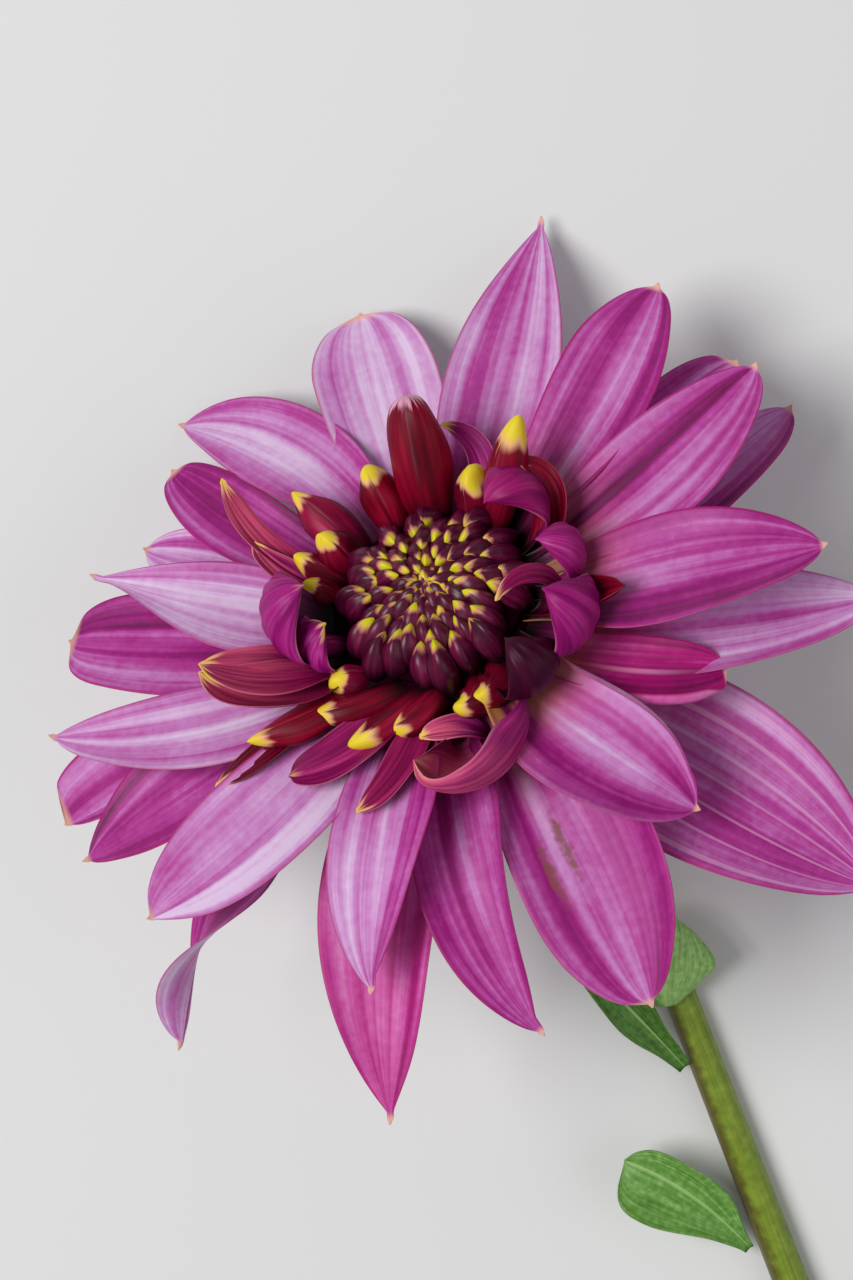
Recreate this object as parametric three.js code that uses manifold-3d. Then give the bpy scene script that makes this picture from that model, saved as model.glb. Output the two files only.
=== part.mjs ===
// A dahlia flower as picked: an open bloom with a dome of disc buds, a ring of unfolding inner
// florets, three whorls of broad ray petals, a green cup of bracts and a cut stem with three small
// leaves. It lies on a table, leaning on two petal tips and on its stem.
//
// Millimetres, +Z up. The stem lies along -Y and the bloom looks towards +Y and up.
// The bloom is drawn in its own frame, with its axis along z and azimuths counted round that axis.

import * as THREE from 'three';
import { mergeVertices } from 'three/addons/utils/BufferGeometryUtils.js';
import Module from 'manifold-3d';

const wasm = await Module();
wasm.setup();

// ---- Driving dimensions ----

const HEAD_POSITION = new THREE.Vector3(2, 44, 29);
const HEAD_LEAN = 52;
const LOWEST_AZIMUTH = 76.5;

const BLADE_THICKNESS = 0.7;
const LEAF_THICKNESS = 0.8;
const BLADE_TIP_WIDTH = 1.0;
const SEAT_GAP = 0.3;
const FLATNESS = 0.07;

const RAY_CORE_RADIUS = 11.2;
const RAY_CORE_BOTTOM = -4.4;
const RAY_CORE_TOP = 3.0;

const INNER_CORE_RADIUS = 14.6;
const INNER_CORE_NECK = 11.0;
const INNER_CORE_BOTTOM = RAY_CORE_TOP + SEAT_GAP;
const INNER_CORE_SIDE = 5.0;
const INNER_CORE_TOP = 6.4;
const FLORET_ROOT_RADIUS = 13.4;
const FLORET_ROOT_HEIGHT = 5.2;

const DISC_RADIUS = 13.6;
const DISC_SHIFT = [0.9, -0.5, 0];
const DISC_BOTTOM = INNER_CORE_TOP + SEAT_GAP;
const DISC_CORE_RADIUS = 12.6;
const DISC_CORE_TOP = 10.4;
const DISC_BUD_RISE = 3.0;
const DISC_BUD_OVERHANG = 1.2;
const DISC_BUDS = 84;
const DISC_SPREAD = 0.64;
const GOLDEN_ANGLE = 137.508;

const CUP_TOP = RAY_CORE_BOTTOM - SEAT_GAP;
const CUP_BOTTOM = -9.0;
const CUP_RADIUS = 10.6;

const STEM_NECK_RADIUS = 2.1;
const STEM_END_RADIUS = 2.65;
const STEM_ARC_RADIUS = 49;
const STEM_SIDE_SHIFT = 9.3;
const STEM_LENGTH_ON_TABLE = 90;
const STEM_FLAT_DEPTH = 0.15;
const STEM_SIDES = 12;
const STEM_ARC_STEPS = 14;
const STEM_TABLE_STEPS = 12;
// The sideways bend starts this far behind the neck and takes this length.
const STEM_SHIFT_START = 3;
const STEM_SHIFT_LENGTH = 54;

// ---- Small helpers ----

const radians = THREE.MathUtils.degToRad;
const smooth = (low, high, x) => THREE.MathUtils.smoothstep(x, low, high);

function toSolid(geometry) {
  const bare = geometry.clone();
  bare.deleteAttribute('normal');
  bare.deleteAttribute('uv');
  const merged = mergeVertices(bare, 1e-5);
  return new wasm.Manifold(new wasm.Mesh({
    numProp: 3,
    vertProperties: new Float32Array(merged.attributes.position.array),
    triVerts: new Uint32Array(merged.index.array),
  }));
}

function toGeometry(solid) {
  const mesh = solid.getMesh();
  const geometry = new THREE.BufferGeometry();
  geometry.setAttribute('position', new THREE.BufferAttribute(mesh.vertProperties, 3));
  geometry.setIndex(new THREE.BufferAttribute(mesh.triVerts, 1));
  geometry.computeVertexNormals();
  return geometry;
}

// Joins solids that grow together.
function fuse(solids) {
  return solids.reduce((whole, solid) => whole.add(solid));
}

// Merges corners that lie within FLATNESS of their neighbours' faces, and drops the tiny hollows
// and scraps that are left where solids join.
function oneBody(solid) {
  const bodies = solid.asOriginal().simplify(FLATNESS).decompose();
  return bodies.reduce((largest, body) => (body.volume() > largest.volume() ? body : largest));
}

function geometryFrom(points, triangles) {
  const geometry = new THREE.BufferGeometry();
  geometry.setFromPoints(points);
  geometry.setIndex(triangles);
  return geometry;
}

// ---- Blades: petals, open florets, bracts and leaves ----

// A blade leaves its root along azimuth and rise, bends to droop at its tip, and is cupped across.
// Left and right hold what differs in the outline of that margin.
const PLAIN_BLADE = {
  azimuth: 0, length: 48, width: 16, lift: 0, rise: 0, droop: 0, bend: 1.4, aim: 0, sway: 0,
  roll: 0, twist: 0, twistFrom: 0.4, twistTo: 0.9,
  cup: 30, rootCup: 75, tipCup: null, foldLeft: 0, foldRight: 0,
  claw: 0.42, broad: 0.56, point: 0.75, left: {}, right: {}, thickness: BLADE_THICKNESS,
};

const BLADE_STEPS = [0, 0.15, 0.3, 0.44, 0.57, 0.7, 0.81, 0.9, 0.965, 1];
const FLORET_STEPS = [0, 0.2, 0.38, 0.55, 0.7, 0.83, 0.93, 1];
const HOOD_STEPS = [0, 0.2, 0.36, 0.5, 0.63, 0.75, 0.86, 0.95, 1];
const ACROSS = [-1, -0.5, 0, 0.5, 1];
const BRACT_STEPS = [0, 0.35, 0.65, 0.9, 1];
const BRACT_ACROSS = [-1, 0, 1];
const PATH_STEPS = 120;

// Direction of the midrib at a share of its length, with the blade's own left and up.
function bladeFrame(blade, share) {
  const elevation = radians(blade.rise + (blade.droop - blade.rise) * share ** blade.bend);
  const heading = radians(blade.azimuth + blade.aim + blade.sway * share ** 1.5);
  const turn = radians(blade.roll + blade.twist * smooth(blade.twistFrom, blade.twistTo, share));
  const along = new THREE.Vector3(
    Math.cos(elevation) * Math.cos(heading),
    Math.cos(elevation) * Math.sin(heading),
    Math.sin(elevation),
  );
  const left = new THREE.Vector3(-Math.sin(heading), Math.cos(heading), 0);
  const up = along.clone().cross(left);
  left.applyAxisAngle(along, turn);
  up.applyAxisAngle(along, turn);
  return { along, left, up };
}

// Points of the midrib at the given shares of its length.
function midrib(blade, shares) {
  const points = [];
  const point = blade.root.clone();
  let walked = 0;
  for (const share of shares) {
    while (walked < share * PATH_STEPS - 0.5) {
      const { along } = bladeFrame(blade, (walked + 0.5) / PATH_STEPS);
      point.addScaledVector(along, blade.length / PATH_STEPS);
      walked += 1;
    }
    points.push(point.clone());
  }
  return points;
}

// Distance from the midrib to the margin on one side.
function halfWidth(blade, share, side) {
  const margin = { ...blade, ...(side < 0 ? blade.right : blade.left) };
  const full = margin.width / 2;
  if (share < margin.broad) {
    const swell = Math.sin((Math.PI / 2) * (share / margin.broad)) ** 1.3;
    return full * (margin.claw + (1 - margin.claw) * swell);
  }
  const past = Math.min((share - margin.broad) / (1 - margin.broad) / 0.97, 1);
  return Math.max(full * (1 - past ** 2) ** margin.point, BLADE_TIP_WIDTH / 2);
}

// Half angle of the arc that the blade makes across, on one side of the midrib.
function cupAngle(blade, share, side) {
  const tipCup = blade.tipCup ?? blade.cup * 0.8;
  const towardsRoot = (blade.rootCup - blade.cup) * (1 - smooth(0, 0.45, share));
  const towardsTip = (tipCup - blade.cup) * smooth(0.6, 1, share);
  const fold = side > 0 ? blade.foldLeft : blade.foldRight;
  const unfolding = smooth(0.1, 0.5, share) * (1 - 0.6 * smooth(0.85, 1, share));
  return radians(blade.cup + towardsRoot + towardsTip + fold * Math.abs(side) * unfolding);
}

function bladeGeometry(row, steps, places = ACROSS) {
  const blade = { ...PLAIN_BLADE, ...row };
  const points = [];
  const across = places.length;
  const rows = steps.length;
  midrib(blade, steps).forEach((centre, step) => {
    const { left, up } = bladeFrame(blade, steps[step]);
    for (const side of places) {
      const angle = cupAngle(blade, steps[step], side);
      const half = halfWidth(blade, steps[step], side);
      const turned = angle * Math.abs(side);
      const sideways = (half * Math.sin(turned) / angle) * Math.sign(side);
      const raised = half * (1 - Math.cos(turned)) / angle;
      const normal = up.clone().multiplyScalar(Math.cos(turned));
      normal.addScaledVector(left, -Math.sin(turned) * Math.sign(side));
      const middle = centre.clone().addScaledVector(left, sideways).addScaledVector(up, raised);
      points.push(middle.clone().addScaledVector(normal, blade.thickness / 2));
      points.push(middle.clone().addScaledVector(normal, -blade.thickness / 2));
    }
  });
  const upper = (step, place) => 2 * (step * across + place);
  const lower = (step, place) => upper(step, place) + 1;
  const triangles = [];
  const quad = (a, b, c, d) => triangles.push(a, b, c, a, c, d);
  for (let step = 0; step < rows - 1; step += 1) {
    for (let place = 0; place < across - 1; place += 1) {
      quad(upper(step, place), upper(step + 1, place),
        upper(step + 1, place + 1), upper(step, place + 1));
      triangles.push(lower(step, place), lower(step + 1, place + 1), lower(step + 1, place));
      triangles.push(lower(step, place), lower(step, place + 1), lower(step + 1, place + 1));
    }
    quad(upper(step, 0), lower(step, 0), lower(step + 1, 0), upper(step + 1, 0));
    const edge = across - 1;
    quad(upper(step, edge), upper(step + 1, edge), lower(step + 1, edge), lower(step, edge));
  }
  for (let place = 0; place < across - 1; place += 1) {
    quad(upper(0, place), upper(0, place + 1), lower(0, place + 1), lower(0, place));
    const end = rows - 1;
    quad(upper(end, place), lower(end, place), lower(end, place + 1), upper(end, place + 1));
  }
  return geometryFrom(points, triangles);
}

// ---- Spindles: stem, rolled florets and disc buds ----

// A round body along a row of centres; a radius of zero at the end makes a point.
function spindleGeometry(centres, radii, sides, flatten = 1) {
  const points = [];
  const triangles = [];
  const along = centres[1].clone().sub(centres[0]).normalize();
  const side = new THREE.Vector3(0, 0, 1).cross(along);
  if (side.lengthSq() < 0.01) {
    side.set(1, 0, 0);
  }
  side.normalize();
  centres.forEach((centre, ring) => {
    const next = centres[Math.min(ring + 1, centres.length - 1)];
    const previous = centres[Math.max(ring - 1, 0)];
    along.copy(next).sub(previous).normalize();
    side.addScaledVector(along, -side.dot(along)).normalize();
    const top = along.clone().cross(side);
    if (radii[ring] === 0) {
      points.push(centre.clone());
      return;
    }
    for (let corner = 0; corner < sides; corner += 1) {
      const turn = (2 * Math.PI * (corner + 0.5)) / sides;
      points.push(centre.clone()
        .addScaledVector(side, radii[ring] * Math.cos(turn))
        .addScaledVector(top, radii[ring] * flatten * Math.sin(turn)));
    }
  });
  const rings = radii.filter((radius) => radius > 0).length;
  for (let ring = 0; ring < rings - 1; ring += 1) {
    for (let corner = 0; corner < sides; corner += 1) {
      const a = ring * sides + corner;
      const b = ring * sides + (corner + 1) % sides;
      triangles.push(a, b, b + sides, a, b + sides, a + sides);
    }
  }
  for (let corner = 1; corner < sides - 1; corner += 1) {
    triangles.push(0, corner + 1, corner);
  }
  const last = (rings - 1) * sides;
  for (let corner = 0; corner < sides; corner += 1) {
    if (rings < radii.length) {
      triangles.push(last + corner, last + (corner + 1) % sides, rings * sides);
    } else if (corner > 0 && corner < sides - 1) {
      triangles.push(last, last + corner, last + corner + 1);
    }
  }
  return geometryFrom(points, triangles);
}

// ---- The bloom ----

const rootAt = (azimuth, radius, height) => new THREE.Vector3(
  radius * Math.cos(radians(azimuth)),
  radius * Math.sin(radians(azimuth)),
  height,
);

// The three whorls of ray petals, from the back of the bloom to its front.
const WHORLS = {
  back: { rootRadius: 8.5, rootHeight: -2.6 },
  middle: { rootRadius: 9.2, rootHeight: -0.4 },
  front: { rootRadius: 10.0, rootHeight: 1.6 },
};

const RAY_PETALS = {
  back: [
    {
      azimuth: 75, length: 43.5, width: 18.5, rise: 14, droop: 10, sway: -2, cup: 20, broad: 0.7,
      point: 0.42, left: { broad: 0.78, claw: 0.3 },
    },
    { azimuth: 10, length: 47.5, width: 14, rise: 6, droop: -5, sway: 8, broad: 0.66, point: 0.36 },
    {
      azimuth: 355, length: 49, width: 13, lift: -1, rise: 3, droop: -3, sway: 21, cup: 25,
      point: 0.55, right: { width: 14.5 },
    },
    {
      azimuth: 320, length: 52, width: 15, lift: 0.6, rise: 1, droop: -4, sway: 25,
      left: { width: 18 },
    },
    {
      azimuth: 299, length: 60, width: 25, lift: -1.2, rise: -11, droop: -24, sway: -5,
      broad: 0.52, right: { width: 27 },
    },
    {
      azimuth: 226, length: 60, width: 16.5, rise: -5, droop: -36, sway: 13, cup: 35, broad: 0.5,
      point: 1, right: { width: 19.5 },
    },
    {
      azimuth: 198, length: 61, width: 12, rise: 0, droop: -45, bend: 2, sway: 10, twist: 70,
      twistFrom: 0.4, twistTo: 0.7, cup: 45,
    },
    { azimuth: 178, length: 52, width: 16, lift: 0.6, rise: 5, droop: -18 },
    {
      azimuth: 167, length: 53, width: 12, lift: -1, rise: 2, droop: -14, sway: 10,
      right: { width: 17, broad: 0.8, point: 0.22 },
    },
    {
      azimuth: 150, length: 47.5, width: 17, lift: -0.3, rise: 8, droop: 1, sway: -10, cup: 20,
      broad: 0.65, point: 0.3,
    },
    {
      azimuth: 125, length: 42, width: 12, lift: -1.2, rise: 7, droop: -1, sway: 9, cup: 25,
      point: 0.5,
    },
  ],
  middle: [
    {
      azimuth: 121, length: 41, width: 11.5, rise: 10, droop: 2, sway: -17, cup: 25, broad: 0.65,
      point: 0.4,
    },
    {
      azimuth: 45, length: 54, width: 17.5, rise: 14, droop: 2, sway: 4, cup: 25, broad: 0.48,
      point: 1.05,
    },
    {
      azimuth: 272, length: 52, width: 22, rise: -6, droop: -38, sway: -17, foldLeft: 30,
      left: { width: 23, broad: 0.48, point: 0.7 },
      right: { width: 21.5, point: 0.5, broad: 0.62, claw: 0.3 },
    },
    {
      azimuth: 241, length: 51, width: 14, lift: -0.5, rise: -1, droop: -40, sway: 34, cup: 35,
      foldLeft: 45, left: { width: 17.5, broad: 0.38, point: 1.3 },
    },
    {
      azimuth: 178, length: 49.5, width: 12.5, rise: 9, droop: 2, sway: -42, cup: 25,
      left: { width: 14, broad: 0.4, claw: 0.6 },
    },
  ],
  front: [
    {
      azimuth: 208, length: 48, width: 18, lift: 0.2, rise: 7, droop: -4, sway: -30, cup: 22,
      rootCup: 45, left: { width: 16, point: 0.9 }, right: { width: 19, broad: 0.62, point: 0.5 },
    },
    {
      azimuth: 146, length: 41, width: 12, rise: 20, droop: 2, sway: -17, cup: 40, broad: 0.45,
      point: 1.1, left: { width: 19, broad: 0.28, point: 1.6 },
    },
    { azimuth: 93, length: 47.5, width: 14.5, rise: 8, droop: -9, sway: 46, cup: 25 },
    {
      azimuth: 17, length: 46, width: 16, lift: -0.4, rise: 18, droop: 6, sway: 18, cup: 25,
      point: 0.6, left: { broad: 0.7, claw: 0.3 },
    },
    {
      azimuth: 353, length: 46, width: 15, lift: 0.2, rise: 17, droop: 4, sway: 26, cup: 25,
      point: 0.65, right: { width: 20 },
    },
    { azimuth: 326, length: 46.5, width: 17, lift: 0.6, rise: 22, droop: -7, sway: 10, point: 0.7 },
    {
      azimuth: 230, length: 44.5, width: 14.5, lift: 0.6, rise: 11, droop: -38,
      left: { width: 14, broad: 0.42, point: 1.3 },
    },
    {
      azimuth: 303, length: 32, width: 14, rise: 3, droop: -18, sway: 40, cup: 35, broad: 0.62,
      point: 0.4, left: { width: 10, claw: 0.3 }, right: { width: 13, claw: 0.3, broad: 0.7 },
    },
    {
      azimuth: 282, length: 38, width: 18, lift: 0.6, rise: 10, droop: -39, sway: 25, cup: 35,
      left: { width: 18 },
    },
  ],
};

// Inner florets that have opened into a curled or spoon-shaped blade.
const FLORET_SHAPE = { rootCup: 80, claw: 0.5, broad: 0.5, point: 0.6, bend: 1 };
const OPEN_FLORETS = [
  { azimuth: 132, length: 24, width: 4.5, rise: 22, droop: 61, sway: -60, cup: 60 },
  { azimuth: 138, length: 15, width: 5, rise: 25, droop: 40, sway: -45, cup: 70 },
  { azimuth: 184, length: 22, width: 9, rise: 34, droop: 32, sway: -50, cup: 50 },
  { azimuth: 190, length: 23, width: 9, rise: 28, droop: 24, sway: -75, cup: 60 },
  { azimuth: 194, length: 25, width: 5.5, rise: 2, droop: -2, sway: -18, cup: 60 },
  {
    azimuth: 230, length: 20.5, width: 8, lift: -0.2, rise: 6, droop: 4, aim: -25, sway: -50,
    cup: 50, point: 0.4,
  },
  { azimuth: 240, length: 20, width: 6, lift: -0.2, rise: 4, droop: -2, aim: -5, sway: -60, cup: 60 },
  {
    azimuth: 287, length: 25, width: 17, rise: -28, droop: 8, aim: -30, sway: -125, roll: 50,
    cup: 60, rootCup: 60, claw: 0.25,
  },
  { azimuth: 280, length: 18, width: 6, rise: -15, droop: 35, aim: -20, sway: -150, roll: 50, cup: 60 },
  { azimuth: 352, length: 18.5, width: 6, rise: 18, droop: 60, sway: 175, cup: 60 },
  { azimuth: 322, length: 14, width: 6, rise: 15, droop: 60, cup: 70 },
  { azimuth: 38, length: 17, width: 4.5, rise: 22, droop: 34, aim: -15, sway: 130, cup: 60 },
];

// Inner florets that curl back over the disc, so that their outer side shows.
const HOOD_SHAPE = { bend: 1.4, cup: 60, rootCup: 60, tipCup: 70, claw: 0.6, broad: 0.45, point: 0.55 };
const HOODED_FLORETS = [
  { azimuth: 163, length: 24, width: 17, rise: 16, droop: 200 },
  { azimuth: 176, length: 15, width: 12, rise: 15, droop: 205 },
  { azimuth: 10, length: 23, width: 15, rise: 12, droop: 230, bend: 1.5, claw: 0.8 },
  { azimuth: 336, length: 21, width: 11, rise: 4, droop: 200, bend: 1.7, claw: 0.8 },
  { azimuth: 310, length: 26, width: 15, rise: 0, droop: 195, bend: 1.8, claw: 0.8 },
  { azimuth: 288, length: 23, width: 12, rise: -8, droop: 205, bend: 1.6, claw: 0.8 },
  { azimuth: 324, length: 18, width: 3, rise: 15, droop: 215, bend: 1.8, sway: 20 },
];

// Inner florets that are still rolled up into a pointed tube.
const ROLLED_FLORETS = [
  { azimuth: 60, length: 19.5, width: 8.2, rise: 57, droop: 48 },
  { azimuth: 20, length: 19.5, width: 6, rise: 52, droop: 50 },
  { azimuth: 33, length: 11, width: 5.6, rise: 60, droop: 72 },
  { azimuth: 83, length: 11.5, width: 6, rise: 44, droop: 54 },
  { azimuth: 108, length: 15, width: 6, rise: 26, droop: 18 },
  { azimuth: 118, length: 9, width: 5.2, rise: 54, droop: 76 },
  { azimuth: 129, length: 9.5, width: 4.2, rise: 38, droop: 44 },
  { azimuth: 139, length: 7, width: 4, rise: 38, droop: 50 },
  { azimuth: 172, length: 8, width: 4.2, rise: 30, droop: 80 },
  { azimuth: 188, length: 7.5, width: 4.8, rise: 18, droop: 40 },
  { azimuth: 205, length: 20, width: 5, rise: 8, droop: 6, aim: -15, sway: -32 },
  { azimuth: 226, length: 14, width: 4.4, rise: 12, droop: 4, aim: -45, sway: -35 },
  { azimuth: 238, length: 13.5, width: 4.6, rise: 10, droop: 2, aim: -30, sway: -45 },
  { azimuth: 250, length: 11, width: 4.6, rise: 6, droop: 4, aim: -35, sway: -60 },
  { azimuth: 266, length: 7, width: 4.8, rise: -28, droop: 50, aim: -20, sway: -70 },
  { azimuth: 280, length: 8, width: 5.2, rise: -32, droop: 50, aim: -20, sway: -70 },
];

// Swell of a rolled floret along its length.
const ROLLED_STEPS = [0, 0.25, 0.5, 0.75, 0.92, 1];
const ROLLED_SWELL = [0.6, 0.9, 1, 0.86, 0.5, 0];

function ringGeometry(radius, bottom, top, rounding, segments) {
  const profile = [
    new THREE.Vector2(0, bottom),
    new THREE.Vector2(radius - rounding, bottom),
    new THREE.Vector2(radius, bottom + rounding),
    new THREE.Vector2(radius, top - rounding),
    new THREE.Vector2(radius - rounding, top),
    new THREE.Vector2(0, top),
  ];
  return latheGeometry(profile, segments);
}

// A lathe about z, turned from the outline's own axis.
function latheGeometry(profile, segments) {
  return new THREE.LatheGeometry(profile, segments).rotateX(Math.PI / 2);
}

// Height of the disc's dome at a distance from the axis.
const DOME_DROP = DISC_CORE_TOP - DISC_BOTTOM - 1;
const domeHeight = (radius) => DISC_CORE_TOP - DOME_DROP * (radius / DISC_RADIUS) ** 2.2;

// Room for the disc and its buds, which the florets round it stay out of.
function discRoom() {
  const reach = DISC_RADIUS + DISC_BUD_OVERHANG + SEAT_GAP;
  const bottom = DISC_BOTTOM - SEAT_GAP;
  const profile = [new THREE.Vector2(0, bottom), new THREE.Vector2(reach, bottom)];
  for (const share of [1, 0.75, 0.5]) {
    const radius = reach * share;
    profile.push(new THREE.Vector2(radius, domeHeight(radius) + DISC_BUD_RISE));
  }
  profile.push(new THREE.Vector2(0, DISC_CORE_TOP + DISC_BUD_RISE));
  return toSolid(latheGeometry(profile, 24)).translate(DISC_SHIFT);
}

// A ring whose underside slopes up outside the neck, with a gap left round it.
function innerCore(gap, top) {
  const profile = [
    new THREE.Vector2(0, INNER_CORE_BOTTOM - gap),
    new THREE.Vector2(INNER_CORE_NECK, INNER_CORE_BOTTOM - gap),
    new THREE.Vector2(INNER_CORE_RADIUS + gap, INNER_CORE_SIDE - gap),
    new THREE.Vector2(INNER_CORE_RADIUS + gap, top - 0.5),
    new THREE.Vector2(INNER_CORE_RADIUS + gap - 0.5, top),
    new THREE.Vector2(0, top),
  ];
  return toSolid(latheGeometry(profile, 24));
}

function rayPetals() {
  const core = toSolid(ringGeometry(RAY_CORE_RADIUS, RAY_CORE_BOTTOM, RAY_CORE_TOP, 0.8, 24));
  const petals = [];
  for (const [whorl, { rootRadius, rootHeight }] of Object.entries(WHORLS)) {
    for (const petal of RAY_PETALS[whorl]) {
      const root = rootAt(petal.azimuth, rootRadius, rootHeight + (petal.lift ?? 0));
      petals.push(toSolid(bladeGeometry({ ...petal, root }, BLADE_STEPS)));
    }
  }
  const room = fuse([innerCore(SEAT_GAP, DISC_CORE_TOP), ...floretSolids(SEAT_GAP)]);
  return oneBody(fuse([core, ...petals]).subtract(room));
}

function floretRoot(floret, inwards = 0) {
  const height = FLORET_ROOT_HEIGHT + (floret.lift ?? 0);
  return rootAt(floret.azimuth, FLORET_ROOT_RADIUS - inwards, height);
}

// All the florets, each of them a gap larger on every side.
function floretSolids(gap) {
  const grown = (floret) => ({
    ...floret, width: floret.width + 2 * gap, thickness: BLADE_THICKNESS + 2 * gap,
  });
  const open = OPEN_FLORETS.map((floret) => {
    const blade = { ...FLORET_SHAPE, ...grown(floret), root: floretRoot(floret) };
    return toSolid(bladeGeometry(blade, FLORET_STEPS));
  });
  const hooded = HOODED_FLORETS.map((floret) => {
    const blade = { ...HOOD_SHAPE, ...grown(floret), root: floretRoot(floret) };
    return toSolid(bladeGeometry(blade, HOOD_STEPS));
  });
  const rolled = ROLLED_FLORETS.map((floret) => {
    const blade = { ...PLAIN_BLADE, ...floret, root: floretRoot(floret, 1) };
    const radii = ROLLED_SWELL.map((swell) => (swell * grown(floret).width) / 2);
    return toSolid(spindleGeometry(midrib(blade, ROLLED_STEPS), radii, 6));
  });
  return [...open, ...hooded, ...rolled];
}

function innerFlorets() {
  const core = innerCore(0, INNER_CORE_TOP);
  return oneBody(fuse([core, ...floretSolids(0)]).subtract(discRoom()));
}

// A low dome packed with pointed buds that lean in over it, each a golden angle from the last.
function discFlorets() {
  const start = DISC_BOTTOM - 0.5;
  const profile = [new THREE.Vector2(0, start), new THREE.Vector2(DISC_CORE_RADIUS, start)];
  for (const share of [1, 0.8, 0.55, 0.3]) {
    const radius = DISC_CORE_RADIUS * share;
    profile.push(new THREE.Vector2(radius, domeHeight(radius)));
  }
  profile.push(new THREE.Vector2(0, DISC_CORE_TOP));
  const buds = [toSolid(latheGeometry(profile, 20))];
  for (let bud = 1; bud <= DISC_BUDS; bud += 1) {
    const share = (bud / DISC_BUDS) ** DISC_SPREAD;
    const radius = DISC_RADIUS * share;
    const azimuth = bud * GOLDEN_ANGLE;
    const length = 2.2 + 3.6 * share;
    const width = 1.7 + 2.2 * share;
    const slope = Math.atan(domeHeight(radius - 0.5) - domeHeight(radius + 0.5));
    const foot = rootAt(azimuth, radius - 0.1, domeHeight(radius) - 0.6);
    const inward = rootAt(azimuth, -Math.cos(slope + 0.55), Math.sin(slope + 0.55));
    const centres = [0, 0.45, 1].map(
      (place) => foot.clone().addScaledVector(inward, length * place),
    );
    const radii = [0.4, 0.5, 0].map((swell) => swell * width);
    buds.push(toSolid(spindleGeometry(centres, radii, 4)));
  }
  return oneBody(fuse(buds).trimByPlane([0, 0, 1], DISC_BOTTOM)).translate(DISC_SHIFT);
}

// ---- The green cup behind the bloom ----

const INNER_BRACTS = 8;
const INNER_BRACT = {
  length: 10, width: 8, rise: -14, droop: -20, cup: 12, rootCup: 12, claw: 0.8,
};
const OUTER_BRACTS = 6;
const OUTER_BRACT = {
  length: 17, width: 7, rise: -20, droop: -60, cup: 20, rootCup: 20, claw: 0.6,
};

function bractCup() {
  const profile = [
    new THREE.Vector2(0, CUP_BOTTOM),
    new THREE.Vector2(STEM_NECK_RADIUS + 1.2, CUP_BOTTOM),
    new THREE.Vector2(CUP_RADIUS * 0.75, CUP_BOTTOM + 1.6),
    new THREE.Vector2(CUP_RADIUS, CUP_TOP - 1.2),
    new THREE.Vector2(CUP_RADIUS, CUP_TOP),
    new THREE.Vector2(0, CUP_TOP),
  ];
  const solids = [toSolid(latheGeometry(profile, 24))];
  for (let bract = 0; bract < INNER_BRACTS; bract += 1) {
    const azimuth = (360 / INNER_BRACTS) * (bract + 0.5);
    const root = rootAt(azimuth, CUP_RADIUS - 3, CUP_TOP - 1.4);
    const bladed = bladeGeometry({ ...INNER_BRACT, azimuth, root }, BRACT_STEPS, BRACT_ACROSS);
    solids.push(toSolid(bladed));
  }
  for (let bract = 0; bract < OUTER_BRACTS; bract += 1) {
    const azimuth = (360 / OUTER_BRACTS) * bract;
    const root = rootAt(azimuth, CUP_RADIUS - 4.5, CUP_BOTTOM + 1.6);
    const bladed = bladeGeometry({ ...OUTER_BRACT, azimuth, root }, BRACT_STEPS, BRACT_ACROSS);
    solids.push(toSolid(bladed));
  }
  return oneBody(fuse(solids));
}

// ---- Stem and leaves, in the part's own frame ----

const onTable = (solid) => solid.trimByPlane([0, 0, 1], 0);

// Centre line of the stem: off the back of the head, down in an arc, then flat along the table.
function stemCentres() {
  const lean = radians(HEAD_LEAN);
  const neck = new THREE.Vector3(0, Math.cos(lean), Math.sin(lean));
  const start = HEAD_POSITION.clone().addScaledVector(neck, CUP_BOTTOM - SEAT_GAP);
  const table = STEM_END_RADIUS;
  const drop = start.z - table;
  const arcDrop = STEM_ARC_RADIUS * (1 - Math.cos(lean));
  const straight = (drop - arcDrop) / Math.sin(lean);
  const centres = [start.clone()];
  const bendStart = start.clone().addScaledVector(neck, -straight);
  for (let step = 0; step <= STEM_ARC_STEPS; step += 1) {
    const angle = lean * (1 - step / STEM_ARC_STEPS);
    const back = STEM_ARC_RADIUS * (Math.sin(lean) - Math.sin(angle));
    const down = STEM_ARC_RADIUS * (Math.cos(angle) - Math.cos(lean));
    centres.push(new THREE.Vector3(0, bendStart.y - back, bendStart.z - down));
  }
  const arcEnd = centres[centres.length - 1];
  for (let step = 1; step <= STEM_TABLE_STEPS; step += 1) {
    const reach = (STEM_LENGTH_ON_TABLE * step) / STEM_TABLE_STEPS;
    centres.push(new THREE.Vector3(0, arcEnd.y - reach, arcEnd.z));
  }
  const shiftStart = start.y - STEM_SHIFT_START;
  for (const centre of centres) {
    const shifted = smooth(0, STEM_SHIFT_LENGTH, shiftStart - centre.y);
    centre.x = HEAD_POSITION.x + STEM_SIDE_SHIFT * shifted;
  }
  return centres;
}

// The stem thickens towards its cut end and is lowered to lie on the table, which cuts it flat.
function stem() {
  const centres = stemCentres();
  const firstY = centres[0].y;
  const lastY = centres[centres.length - 1].y;
  const radii = centres.map((centre) => {
    const share = (firstY - centre.y) / (firstY - lastY);
    return STEM_NECK_RADIUS + (STEM_END_RADIUS - STEM_NECK_RADIUS) * share;
  });
  centres.forEach((centre, place) => {
    const lowered = smooth(0.3, 1, place / STEM_ARC_STEPS);
    centre.z -= (STEM_END_RADIUS - radii[place] + STEM_FLAT_DEPTH) * lowered;
  });
  return onTable(toSolid(spindleGeometry(centres, radii, STEM_SIDES)));
}

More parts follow.
